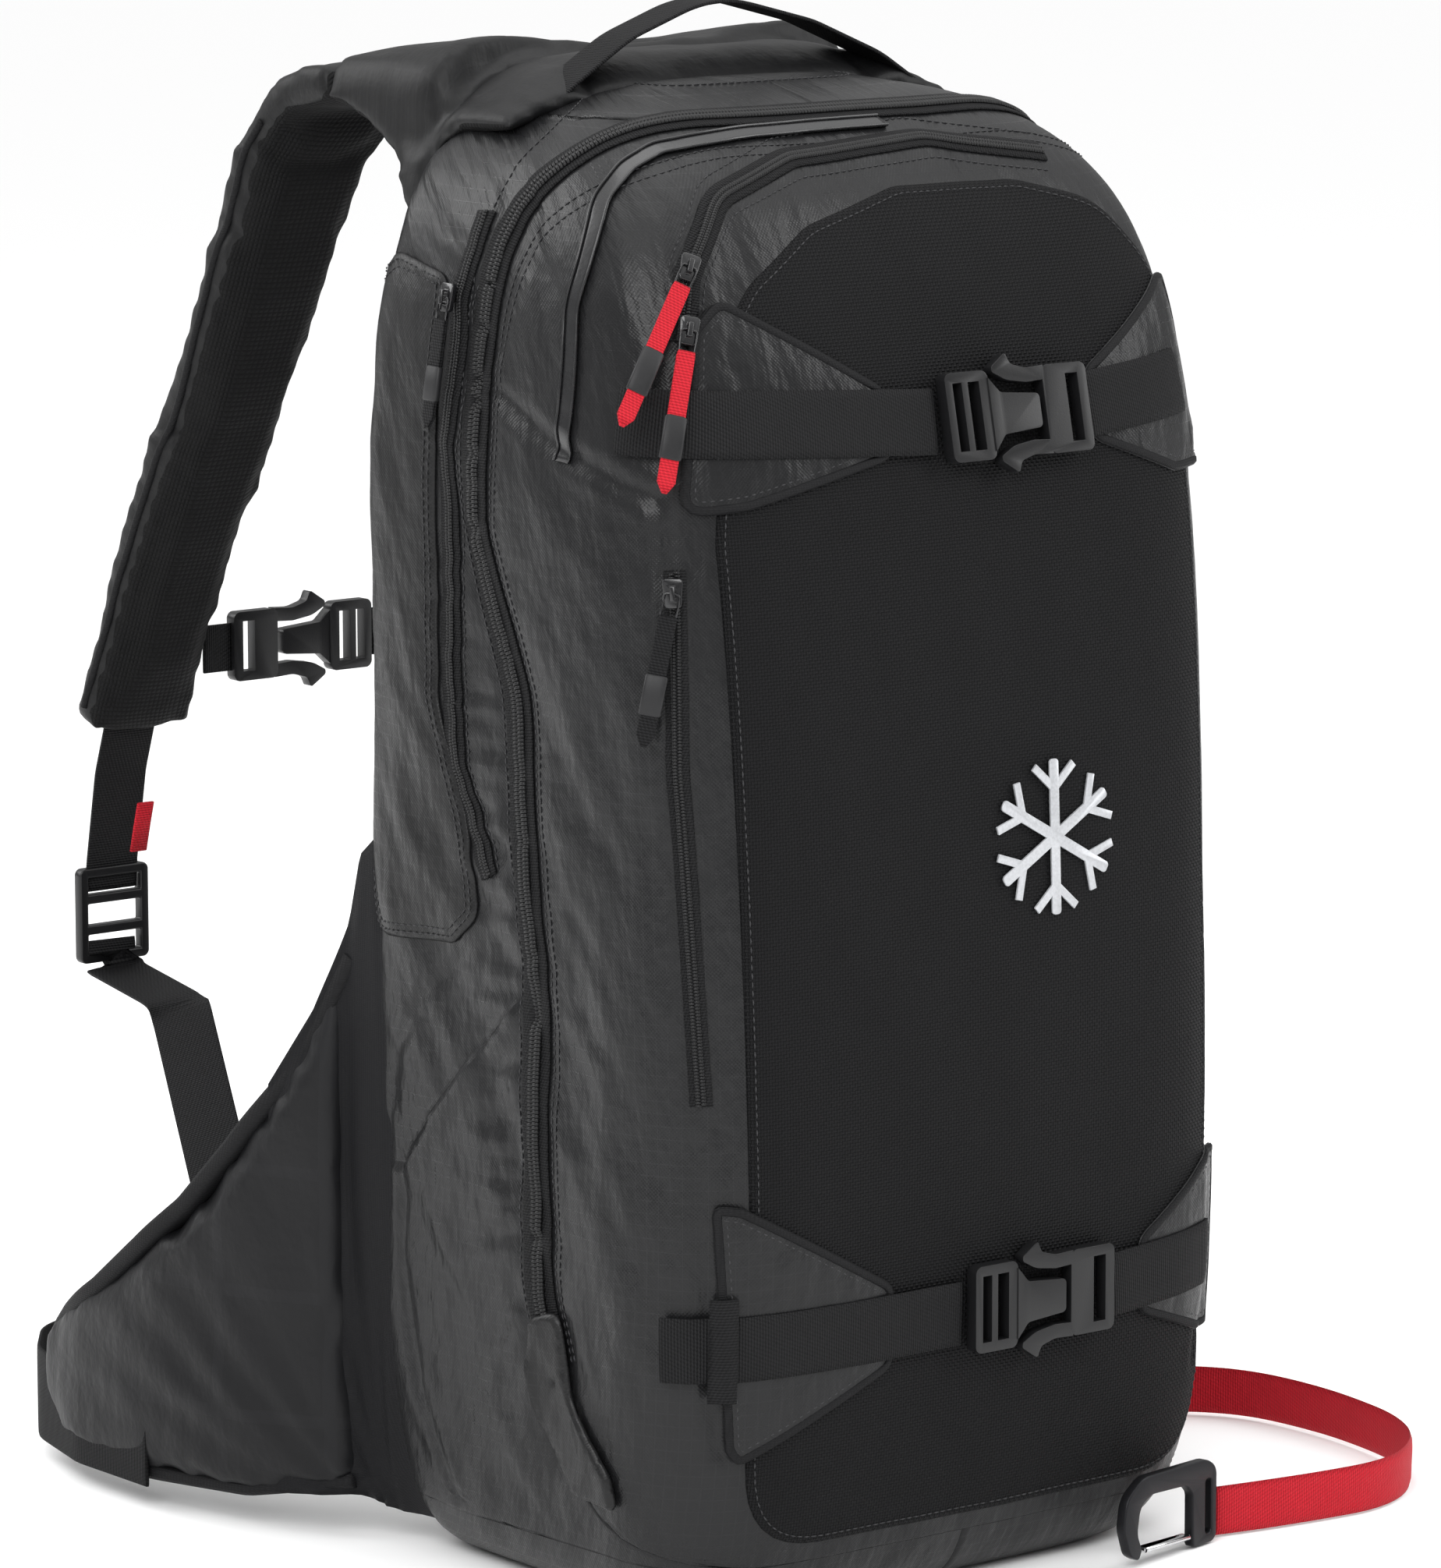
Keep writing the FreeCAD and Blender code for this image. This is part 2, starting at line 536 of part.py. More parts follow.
housing = drum(50, 44, 80).fuse(box(6, 48, 49, 77, 350, 392))
housing = housing.cut(drum(45, 48, 76)).cut(drum(24, 40, 50)).cut(box(11, 43, 53, 73, 340, 400))
keep("blower_housing", housing)
impeller = drum(12, 53, 71).fuse(drum(40, 53, 54.5))
for i in range(9):
    blade = box(9, 39, 54, 71, BLOWER_Z - 0.8, BLOWER_Z + 0.8)
    blade.rotate(V(24, 62, BLOWER_Z), V(0, 1, 0), 24)
    blade.rotate(V(0, 62, BLOWER_Z), V(0, 1, 0), 40 * i)
    impeller = impeller.fuse(blade)
keep("blower_impeller", impeller)


# ---- Leg strap lying on the ground ------------------------------------------------------------------
LEG_PLAN = [(126.5, 60), (212, 76), (262, 44), (270, -14), (256, -82), (214, -117), (164, -114),
            (123, -105.5)]
LEG_LOW = 0.6
LEG_WEB = 20.0
leg = strip(LEG_PLAN, WEB / 2, "z", LEG_LOW, LEG_LOW + LEG_WEB, 30.0)
keep("leg_strap", leg.cut(bag(LAY)))

hook_at = V(91, -114.5, 0.4)
HOOK_TURN = 12.0
HOOK = [(14, 0), (30, 0), (30, 30), (24, 34), (-18, 35), (-29, 28), (-31, 16), (-27, 5), (-21, 2),
        (-19, 6), (-22, 13), (-20, 24), (-12, 27), (10, 26), (14, 22)]
hook = prism(HOOK, "y", -2.2, 2.2, [2, 4, 6, 10, 12, 10, 10, 6, 1.5, 2, 8, 8, 8, 6, 4])
hook = hook.cut(prism([(22.5, 4), (26.5, 4), (26.5, 26), (22.5, 26)], "y", -5, 5, 1.5))
gate_x = 12.0
wire = 1.1
gate = Part.makeCylinder(wire, 28.6, V(gate_x, -1.6, 4.6), V(-1, 0, 0.03))
gate = gate.fuse(Part.makeCylinder(wire, 28.6, V(gate_x, 1.6, 4.6), V(-1, 0, 0.03)))
gate = gate.fuse(Part.makeCylinder(wire, 3.2, V(gate_x - 28.0, -1.6, 5.44), V(0, 1, 0)))
gate = gate.fuse(Part.makeCylinder(wire, 3.2, V(gate_x, -1.6, 4.6), V(0, 1, 0)))
for name, shape in (("leg_hook", hook), ("hook_gate", gate)):
    keep(name, place(shape, hook_at, 0, HOOK_TURN))


# ---- Emblem: plain snow crystal ------------------------------------------------------------------------
EMBLEM_AT = (37.0, 291.0)
EMBLEM_R = 30.0
crystal = None
for i in range(3):
    arm = [(-2.2, -EMBLEM_R), (2.2, -EMBLEM_R), (2.2, EMBLEM_R), (-2.2, EMBLEM_R)]
    bar = prism(arm, "y", -FAR, 0, 1.5)
    for rise in (-1, 1):
        tip = 0.62 * EMBLEM_R * rise
        fork = [(-10, tip + 9 * rise), (0, tip), (10, tip + 9 * rise)]
        bar = bar.fuse(strip(fork, 1.6, "y", -FAR, 0, 1.7))
    bar.rotate(V(0, 0, 0), V(0, 1, 0), 60 * i)
    crystal = bar if crystal is None else crystal.fuse(bar)
crystal.translate(V(EMBLEM_AT[0], 0, EMBLEM_AT[1]))
keep("emblem", layer(LAY + FABRIC + LAY, LAY + FABRIC + 1.3, crystal))

for name, shape in PARTS.items():
    shape.exportStep("parts/" + name + ".step")
    print(name, shape.isValid(), len(shape.Faces), round(shape.Volume / 1000.0, 1))
for name, (at, axis) in MOTION.items():
    print("MOTION", name, [round(v, 3) for v in at], [round(v, 5) for v in axis])
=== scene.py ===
# %% [markdown]
# # Ski backpack
# A tall touring pack: a stuffed bag of coated cloth, a coarse-weave front, zips, buckled straps,
# a padded harness and a red leg strap. The engineering model gives every place and size, so this
# file only builds what cloth, foam and thread look like on top of it.

# %% Load the frame
import math
import bmesh
import bpy
import numpy as np
from mathutils import Matrix, Vector, noise
from mathutils.bvhtree import BVHTree
from mathutils.geometry import delaunay_2d_cdt


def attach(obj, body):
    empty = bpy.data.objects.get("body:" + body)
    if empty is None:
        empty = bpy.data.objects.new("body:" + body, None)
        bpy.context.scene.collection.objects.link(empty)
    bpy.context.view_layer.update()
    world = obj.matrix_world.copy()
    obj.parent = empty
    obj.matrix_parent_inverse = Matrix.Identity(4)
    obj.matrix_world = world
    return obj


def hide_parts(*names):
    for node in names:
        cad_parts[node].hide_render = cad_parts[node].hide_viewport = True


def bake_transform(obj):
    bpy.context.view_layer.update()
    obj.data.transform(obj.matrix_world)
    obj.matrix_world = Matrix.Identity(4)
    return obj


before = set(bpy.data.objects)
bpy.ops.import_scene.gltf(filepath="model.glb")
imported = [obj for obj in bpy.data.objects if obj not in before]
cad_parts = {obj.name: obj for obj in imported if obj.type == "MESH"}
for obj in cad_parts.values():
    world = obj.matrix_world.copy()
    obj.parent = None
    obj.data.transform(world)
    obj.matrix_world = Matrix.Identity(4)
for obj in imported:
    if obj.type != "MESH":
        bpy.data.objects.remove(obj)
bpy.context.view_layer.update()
scene = bpy.context.scene
MM = 0.001
print("frame loaded:", len(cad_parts), "parts")

# %% [markdown]
# A long lens from the front left, a little above the pack, keeps upright edges nearly parallel.
# Black cloth is drawn by what it reflects, so large soft lamps stand round it over a pale floor.
# The sky is dim at the horizon and bright overhead, which leaves the folds some shade.

# %% Camera, light and floor
AIM = Vector((0.0, -0.010, 0.300))
AZIMUTH = math.radians(-39.0)
RISE = math.radians(9.5)
back = Vector((math.sin(AZIMUTH) * math.cos(RISE), -math.cos(AZIMUTH) * math.cos(RISE),
               math.sin(RISE)))
lens = bpy.data.cameras.new("camera")
camera = bpy.data.objects.new("camera", lens)
scene.collection.objects.link(camera)
scene.camera = camera
camera.location = AIM + back * 3.0
camera.rotation_mode = "QUATERNION"
camera.rotation_quaternion = (-back).to_track_quat("-Z", "Y")
lens.lens = 177.2
lens.sensor_width = 36.0
lens.shift_x = -0.0627
lens.shift_y = 0.0042
lens.clip_end = 100.0


def softbox(name, place, aim, size, power):
    lamp = bpy.data.lights.new(name, "AREA")
    lamp.shape = "RECTANGLE"
    lamp.size, lamp.size_y = size
    lamp.energy = power
    holder = bpy.data.objects.new(name, lamp)
    holder.location = place
    holder.rotation_mode = "QUATERNION"
    holder.rotation_quaternion = (Vector(aim) - Vector(place)).to_track_quat("-Z", "Y")
    scene.collection.objects.link(holder)


softbox("key_light", (-1.9, -1.5, 1.9), (0, 0, 0.3), (1.5, 1.5), 44)
softbox("rim_light", (1.7, -1.2, 1.5), (0, 0, 0.35), (0.7, 1.8), 20)
softbox("back_light", (-1.2, 1.9, 1.7), (0, 0, 0.3), (1.4, 1.4), 24)
softbox("top_light", (0.1, 0.1, 2.4), (0, 0, 0.5), (1.6, 1.6), 10)
world = bpy.data.worlds.new("studio")
scene.world = world
world.use_nodes = True
sky = world.node_tree
background = sky.nodes["Background"]
place = sky.nodes.new("ShaderNodeTexCoord")
height = sky.nodes.new("ShaderNodeSeparateXYZ")
ramp = sky.nodes.new("ShaderNodeValToRGB")
ramp.color_ramp.elements.new(0.5)
SKY = ((0.0, 0.16), (0.55, 0.5), (0.92, 1.0))    # how far up, and how bright
for stop, (rise, shade) in zip(ramp.color_ramp.elements, SKY):
    stop.position = rise
    stop.color = (shade, shade, shade, 1)
sky.links.new(place.outputs["Generated"], height.inputs[0])
sky.links.new(height.outputs[2], ramp.inputs[0])
sky.links.new(ramp.outputs[0], background.inputs["Color"])
background.inputs["Strength"].default_value = 1.45
scene.view_settings.view_transform = "Standard"

floor_mesh = bpy.data.meshes.new("floor")
floor_mesh.from_pydata([(-30, -30, 0), (30, -30, 0), (30, 30, 0), (-30, 30, 0)], [], [(0, 1, 2, 3)])
floor = bpy.data.objects.new("floor", floor_mesh)
floor.location.z = -0.0005
scene.collection.objects.link(floor)
pale = bpy.data.materials.new("pale_floor")
pale.use_nodes = True
pale.node_tree.nodes["Principled BSDF"].inputs["Base Color"].default_value = (0.97, 0.97, 0.97, 1)
pale.node_tree.nodes["Principled BSDF"].inputs["Roughness"].default_value = 0.9
pale.node_tree.nodes["Principled BSDF"].inputs["Specular IOR Level"].default_value = 0.0
floor_mesh.materials.append(pale)

# %% [markdown]
# ## Writing finishes
# A finish is a small sum: masks added and multiplied. A wrapped socket lets the sum be written as
# one, and every other kind of node is made by one method.

# %% Shader sums
class Value:
    """A number socket that adds its own Math nodes."""

    def __init__(self, finish, socket):
        self.finish = finish
        self.socket = socket

    def math(self, operation, other=None, flip=False):
        first, second = (other, self) if flip else (self, other)
        node = self.finish.node("ShaderNodeMath", {"operation": operation}, {})
        for slot, value in enumerate((first, second)):
            if value is not None:
                self.finish.feed(node.inputs[slot], value)
        return Value(self.finish, node.outputs[0])

    def __add__(self, other):
        return self.math("ADD", other)

    def __radd__(self, other):
        return self.math("ADD", other, True)

    def __sub__(self, other):
        return self.math("SUBTRACT", other)

    def __rsub__(self, other):
        return self.math("SUBTRACT", other, True)

    def __mul__(self, other):
        return self.math("MULTIPLY", other)

    def __rmul__(self, other):
        return self.math("MULTIPLY", other, True)

    def __truediv__(self, other):
        return self.math("DIVIDE", other)

    def __rtruediv__(self, other):
        return self.math("DIVIDE", other, True)

    def __gt__(self, other):
        return self.math("GREATER_THAN", other)

    def sine(self):
        return self.math("SINE")

    def bend(self, power):
        return self.math("POWER", power)

    def size(self):
        return self.math("ABSOLUTE")

    def part(self):
        return self.math("FRACT")

    def most(self, other):
        return self.math("MAXIMUM", other)


class Finish:
    """A material being written."""

    def __init__(self, name, color, roughness, metallic=0.0, sheen=0.0, coat=0.0, level=0.5):
        self.material = bpy.data.materials.new(name)
        self.material.use_nodes = True
        self.tree = self.material.node_tree
        self.shader = self.tree.nodes["Principled BSDF"]
        self.set("Base Color", (*color, 1))
        self.set("Roughness", roughness)
        self.set("Metallic", metallic)
        self.set("Sheen Weight", sheen)
        self.set("Sheen Roughness", 0.5)
        self.set("Coat Weight", coat)
        self.set("Specular IOR Level", level)

    def node(self, kind, settings, inputs):
        made = self.tree.nodes.new(kind)
        for key, value in settings.items():
            if key == "stops":
                for stop, (place, color) in zip(made.color_ramp.elements, value):
                    stop.position = place
                    stop.color = color
            else:
                setattr(made, key, value)
        for key, value in inputs.items():
            self.feed(made.inputs[key], value)
        return made

    def feed(self, socket, value):
        if isinstance(value, Value):
            self.tree.links.new(value.socket, socket)
        elif isinstance(value, bpy.types.NodeSocket):
            self.tree.links.new(value, socket)
        else:
            socket.default_value = value

    def set(self, name, value):
        self.feed(self.shader.inputs[name], value)

    def place(self):
        """Where a point lies on the cloth, along and across, in metres."""
        source = self.node("ShaderNodeAttribute", {"attribute_name": "cloth"}, {})
        split = self.node("ShaderNodeSeparateXYZ", {}, {"Vector": source.outputs["Vector"]})
        return Value(self, split.outputs[0]), Value(self, split.outputs[1])

    def mask(self):
        """The third number a piece carries with its place on the cloth."""
        source = self.node("ShaderNodeAttribute", {"attribute_name": "cloth"}, {})
        split = self.node("ShaderNodeSeparateXYZ", {}, {"Vector": source.outputs["Vector"]})
        return Value(self, split.outputs[2])

    def body(self):
        return self.node("ShaderNodeTexCoord", {}, {}).outputs["Object"]

    def cloud(self, scale, detail=3.0, where=None):
        made = self.node("ShaderNodeTexNoise", {}, {"Vector": where or self.body(),
                                                   "Scale": scale, "Detail": detail})
        return Value(self, made.outputs[0])

    def folds(self, wide, tall, detail=4.0):
        """Noise drawn out along the cloth, wide and tall in metres."""
        along, across = self.place()
        at = self.node("ShaderNodeCombineXYZ", {}, {0: along / wide, 1: across / tall, 2: 0.0})
        return self.cloud(1.0, detail, at.outputs[0])

    def mix(self, amount, one, two):
        ends = [c if isinstance(c, bpy.types.NodeSocket) else (*c, 1) for c in (one, two)]
        made = self.node("ShaderNodeMix", {"data_type": "RGBA"},
                         {0: amount, 6: ends[0], 7: ends[1]})
        return made.outputs[2]

    def relief(self, height, depth, strength=1.0):
        bump = self.node("ShaderNodeBump", {}, {"Height": height, "Distance": depth,
                                                "Strength": strength})
        self.set("Normal", bump.outputs[0])


print("shader sums ready")

# %% [markdown]
# ## The cloths
# Ripstop is a smooth coated cloth with a thicker thread every few millimetres, so its grid shows
# faintly in the sheen. The front is ballistic nylon, a coarse basket weave that is dull and
# nearly black. Webbing has ribs across it. Each weave is made from the distance along and across
# the cloth, which every piece carries, so threads keep their size round corners. The finest
# creases are a drawn-out noise in the same place, too small to be worth modelling.

# %% Ripstop, in two shades
CREASE_DEPTH = 0.0034


def ripstop(name, color, roughness, pitch=0.0048):
    cloth = Finish(name, color, roughness, level=0.27)
    along, across = cloth.place()
    grid = ((along / pitch).part() > 0.91).most((across / pitch).part() > 0.91)
    threads = (along * 4200).sine() * (across * 4200).sine()
    patch = cloth.cloud(24, 4)
    light = tuple(1.5 * c for c in color)
    dark = tuple(0.74 * c for c in color)
    cloth.set("Base Color", cloth.mix(patch * 0.6 + grid * 0.42, dark, light))
    cloth.set("Roughness", patch * 0.16 + (roughness - 0.07) - grid * 0.08)
    weave = grid * 0.5 + threads * 0.14 + cloth.cloud(420, 2) * 0.4
    creases = cloth.folds(0.026, 0.055)
    cloth.relief(creases * 1.6 + weave * 0.07, CREASE_DEPTH, 0.85)
    return cloth.material


RIPSTOP = ripstop("ripstop", (0.0098, 0.0099, 0.0106), 0.35)
RIPSTOP_FLAP = ripstop("ripstop_flap", (0.0100, 0.0100, 0.0104), 0.38)

# %% Ballistic weave
def basket(along, across, pitch):
    """Height of a basket weave: raised in one direction, then the other."""
    over = ((along / (2 * pitch)).part() > 0.5) * 1.0
    under = ((across / (2 * pitch)).part() > 0.5) * 1.0
    swap = (over - under).size()
    one = (along * (math.pi / pitch)).sine().size()
    two = (across * (math.pi / pitch)).sine().size()
    return swap * one + (1 - swap) * two


ballistic = Finish("ballistic", (0.004, 0.004, 0.0045), 0.6, level=0.13)
along, across = ballistic.place()
weave = basket(along, across, 0.00125)
ballistic.set("Base Color", ballistic.mix(weave * 0.8 + ballistic.cloud(60, 3) * 0.3,
                                          (0.0012, 0.0012, 0.0014), (0.0072, 0.0072, 0.0080)))
ballistic.set("Roughness", 0.78 - weave * 0.22)
ballistic.relief(weave, 0.0005, 0.9)
BALLISTIC = ballistic.material

# %% Webbing, black and red
def webbing(name, dark, light, roughness=0.62, pitch=0.0011):
    web = Finish(name, light, roughness, level=0.16)
    along, across = web.place()
    ribs = (along * (math.pi / pitch)).sine().size()
    rows = (across * (math.pi / 0.0016) + along * 900).sine().size()
    height = ribs * 0.7 + rows * 0.45
    web.set("Base Color", web.mix(height * 0.75 + web.cloud(90, 2) * 0.2, dark, light))
    web.set("Roughness", roughness + 0.12 - ribs * 0.14)
    web.relief(height, 0.0006, 0.9)
    return web.material


WEB_BLACK = webbing("webbing_black", (0.0012, 0.0012, 0.0014), (0.0135, 0.0135, 0.0145))
WEB_RED = webbing("webbing_red", (0.32, 0.006, 0.012), (0.62, 0.017, 0.032), 0.55)

# %% Stretch cloth, spacer mesh and binding
def knit(name, dark, light, pitch, depth, roughness=0.8):
    cloth = Finish(name, light, roughness, level=0.14)
    where = cloth.body()
    split = cloth.node("ShaderNodeSeparateXYZ", {}, {"Vector": where})
    x, y, z = (Value(cloth, split.outputs[i]) for i in range(3))
    rib = ((x + y) * (math.pi / pitch)).sine().size()
    row = (z * (math.pi / (0.8 * pitch))).sine().size()
    patch = cloth.cloud(30, 4)
    cloth.set("Base Color", cloth.mix(rib * row * 0.55 + patch * 0.5, dark, light))
    cloth.set("Roughness", patch * 0.12 + (roughness - 0.06))
    cloth.relief(rib * row + cloth.cloud(300, 2) * 0.4, depth, 0.7)
    return cloth.material


STRETCH = knit("stretch_cloth", (0.0048, 0.0048, 0.0056), (0.0092, 0.0093, 0.0105), 0.0009,
               0.00013, 0.52)


def lined(name, outer, lining, pitch=0.0060):
    """Ripstop outside, dark mesh where the piece's mask is 1."""
    cloth = Finish(name, outer, 0.5, level=0.24)
    along, across = cloth.place()
    inner = cloth.mask() > 0.5
    grid = ((along / pitch).part() > 0.9).most((across / pitch).part() > 0.9)
    patch = cloth.cloud(26, 4)
    dark = tuple(0.7 * c for c in outer)
    light = tuple(1.4 * c for c in outer)
    shell = cloth.mix(patch * 0.6 + grid * 0.35, dark, light)
    dots = (along * (math.pi / 0.0021)).sine().size() * (across * (math.pi / 0.0021)).sine().size()
    mesh = cloth.mix(dots, tuple(0.35 * c for c in lining), tuple(1.25 * c for c in lining))
    cloth.set("Base Color", cloth.mix(inner, shell, mesh))
    cloth.set("Roughness", inner * 0.3 + patch * 0.12 + 0.42)
    weave = (1 - inner) * (grid * 0.4 + cloth.cloud(400, 2) * 0.35) + inner * dots
    cloth.relief(cloth.folds(0.02, 0.03) + weave * 0.15, 0.0026, 0.75)
    return cloth.material


STRAP_CLOTH = lined("strap_cloth", (0.0066, 0.0067, 0.0072), (0.0036, 0.0036, 0.0040))
WING_CLOTH = lined("wing_cloth", (0.0068, 0.0069, 0.0078), (0.0036, 0.0036, 0.0040), 0.05)
PAD_FACE = knit("pad_mesh", (0.0022, 0.0022, 0.0025), (0.0085, 0.0085, 0.0095), 0.0024, 0.0006, 0.9)
BINDING = knit("binding", (0.0055, 0.0055, 0.006), (0.0125, 0.0125, 0.0135), 0.0012, 0.0002, 0.6)

# %% Coated tape, zip coil and thread
tape = Finish("coated_tape", (0.010, 0.010, 0.011), 0.24, coat=0.2, level=0.5)
tape.set("Roughness", tape.cloud(140, 3) * 0.2 + 0.16)
tape.relief(tape.cloud(500, 2), 0.00012, 0.5)
TAPE = tape.material
coil = Finish("zip_coil", (0.007, 0.007, 0.0075), 0.36, level=0.3)
coil.set("Roughness", coil.cloud(300, 2) * 0.2 + 0.27)
COIL = coil.material
thread = Finish("thread", (0.050, 0.050, 0.053), 0.6, level=0.3)
thread.set("Base Color", thread.mix(thread.cloud(900, 2), (0.014, 0.014, 0.015),
                                    (0.055, 0.055, 0.058)))
THREAD = thread.material

# %% Plastic, metal, foam and print
def moulded(name, color, roughness, grain, depth, metallic=0.0, coat=0.0):
    made = Finish(name, color, roughness, metallic=metallic, coat=coat, level=0.36)
    speck = made.cloud(grain, 3)
    dark = tuple(0.75 * c for c in color)
    light = tuple(min(1.0, 1.25 * c) for c in color)
    made.set("Base Color", made.mix(speck, dark, light))
    made.set("Roughness", speck * 0.18 + (roughness - 0.09))
    made.relief(speck, depth, 0.5)
    return made.material


BUCKLE = moulded("buckle_plastic", (0.0085, 0.0085, 0.0092), 0.36, 1500, 0.00006)
SLEEVE = moulded("pull_rubber", (0.011, 0.011, 0.012), 0.5, 900, 0.00006)
SLIDER = moulded("slider_enamel", (0.008, 0.008, 0.009), 0.22, 700, 0.00002, coat=0.5)
ALLOY = moulded("hook_alloy", (0.014, 0.014, 0.016), 0.42, 1200, 0.00004, metallic=0.6)
WIRE = moulded("polished_wire", (0.68, 0.68, 0.69), 0.2, 500, 0.00001, metallic=1.0)
SILVER = moulded("silver_print", (0.50, 0.51, 0.53), 0.38, 900, 0.00003, metallic=0.35)
BOARD = moulded("sheet_plastic", (0.42, 0.42, 0.44), 0.5, 260, 0.00004)
BLADDER = moulded("bladder_cloth", (0.55, 0.09, 0.03), 0.6, 120, 0.0006)
HOUSING = moulded("blower_plastic", (0.05, 0.05, 0.052), 0.5, 600, 0.00005)
IMPELLER = moulded("impeller_plastic", (0.5, 0.5, 0.5), 0.42, 600, 0.00003)
print("finishes written")

# %% [markdown]
# ## The stuffed bag's surface
# Every cloth piece lies on one surface, so it is worked out once. Each level of the bag is a
# rounded rectangle. A point on it is named by the distance round from the middle of the front
# (negative to the wearer's left) and the height. Rays dropped on the engineering model put the
# table exactly on it.

# %% Levels of the bag
LEVELS = np.array([
    (0, 112, -78, 82), (12, 127, -92, 91), (35, 136, -101, 97), (80, 141, -106, 100),
    (160, 143, -108, 101), (300, 143, -105, 101), (400, 143, -98, 100), (460, 141, -88, 99),
    (500, 137, -76, 97), (530, 128, -60, 95), (552, 111, -38, 92), (566, 86, -10, 88),
    (574, 48, 22, 82)], float)


def smooth_table(xs, ys, at):
    """Monotone cubic through the levels, so the profile never overshoots."""
    step = np.diff(xs)
    slope = np.diff(ys) / step
    bend = np.zeros_like(ys)
    bend[0], bend[-1] = slope[0], slope[-1]
    for i in range(1, len(xs) - 1):
        if slope[i - 1] * slope[i] > 0:
            one, two = 2 * step[i] + step[i - 1], step[i] + 2 * step[i - 1]
            bend[i] = (one + two) / (one / slope[i - 1] + two / slope[i])
    k = np.clip(np.searchsorted(xs, at) - 1, 0, len(xs) - 2)
    t = (at - xs[k]) / step[k]
    return ((1 + 2 * t) * (1 - t) ** 2 * ys[k] + t * (1 - t) ** 2 * step[k] * bend[k]
            + t * t * (3 - 2 * t) * ys[k + 1] + t * t * (t - 1) * step[k] * bend[k + 1])


def level(z):
    z = np.clip(z, 0, 574)
    half, front, rear = (smooth_table(LEVELS[:, 0], LEVELS[:, i], z) for i in (1, 2, 3))
    return half, front, rear, 0.35 * front + 0.65 * rear


def ring(z, count=1440):
    """One level, from the middle of the back round the left, the front and the right."""
    half, front, rear, middle = (float(v[0]) for v in level(np.array([float(z)])))
    angle = math.pi / 2 + 2 * math.pi * (np.arange(count + 1) / count)
    c, s = np.cos(angle), np.sin(angle)
    power = np.where(s < 0, 6.0, 8.0)
    depth = np.where(s < 0, middle - front, rear - middle)
    x = half * np.sign(c) * np.abs(c) ** (2 / power)
    y = middle + depth * np.sign(s) * np.abs(s) ** (2 / power)
    return x, y


# %% Table of the surface
def tree_of(names):
    points, faces = [], []
    for name in names:
        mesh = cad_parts[name].data
        base = len(points)
        points += [v.co.copy() for v in mesh.vertices]
        faces += [tuple(base + i for i in p.vertices) for p in mesh.polygons]
    return BVHTree.FromPolygons(points, faces)


ROWS = np.concatenate([np.arange(0, 40, 2.0), np.arange(40, 500, 4.0), np.arange(500, 574.1, 2.0)])
STEP = 2.0
REACH = 500.0
AROUND = np.arange(-REACH, REACH + 0.1, STEP)
shell_tree = tree_of(["base_shell", "front_shell"])
table_x = np.zeros((len(ROWS), len(AROUND)))
table_y = np.zeros_like(table_x)
half_way = np.zeros(len(ROWS))
for r, z in enumerate(ROWS):
    x, y = ring(z)
    run = np.concatenate([[0], np.cumsum(np.hypot(np.diff(x), np.diff(y)))])
    half_way[r] = run[-1] / 2
    at = np.clip(AROUND + half_way[r], 0, run[-1])
    px, py = np.interp(at, run, x), np.interp(at, run, y)
    centre = Vector((0, float((y.min() + y.max()) / 2) * MM, z * MM))
    for i in range(len(AROUND)):
        out = Vector((px[i] * MM, py[i] * MM, z * MM)) - centre
        start = centre + out + out.normalized() * 0.04
        hit = shell_tree.ray_cast(start, -out.normalized(), 0.06)[0] if 1 < z < 573 else None
        if hit is not None and abs((start - hit).length - 0.04) < 0.0035:
            table_x[r, i], table_y[r, i] = hit.x / MM, hit.y / MM
        else:
            table_x[r, i], table_y[r, i] = px[i], py[i]
print("surface table", table_x.shape)


def spot(u, z):
    """Points on the bag at distance u round and height z, in millimetres."""
    u, z = np.atleast_1d(np.asarray(u, float)), np.atleast_1d(np.asarray(z, float))
    u, z = np.broadcast_arrays(u, z)
    r = np.clip(np.searchsorted(ROWS, z) - 1, 0, len(ROWS) - 2)
    f = np.clip((z - ROWS[r]) / (ROWS[r + 1] - ROWS[r]), 0, 1)
    c = np.clip((u + REACH) / STEP, 0, len(AROUND) - 1.001)
    k = c.astype(int)
    g = c - k
    out = []
    for grid in (table_x, table_y):
        low = grid[r, k] * (1 - g) + grid[r, k + 1] * g
        high = grid[r + 1, k] * (1 - g) + grid[r + 1, k + 1] * g
        out.append(low * (1 - f) + high * f)
    return np.stack([out[0], out[1], z], -1)


def facing(u, z):
    """Outward normals, from neighbouring points."""
    u, z = np.atleast_1d(np.asarray(u, float)), np.atleast_1d(np.asarray(z, float))
    u, z = np.broadcast_arrays(u, z)
    side = spot(u + 4, z) - spot(u - 4, z)
    rise = spot(u, np.clip(z + 4, 0, 573.5)) - spot(u, np.clip(z - 4, 0, 573.5))
    out = np.cross(side, rise)
    return out / np.maximum(np.linalg.norm(out, axis=1, keepdims=True), 1e-9)


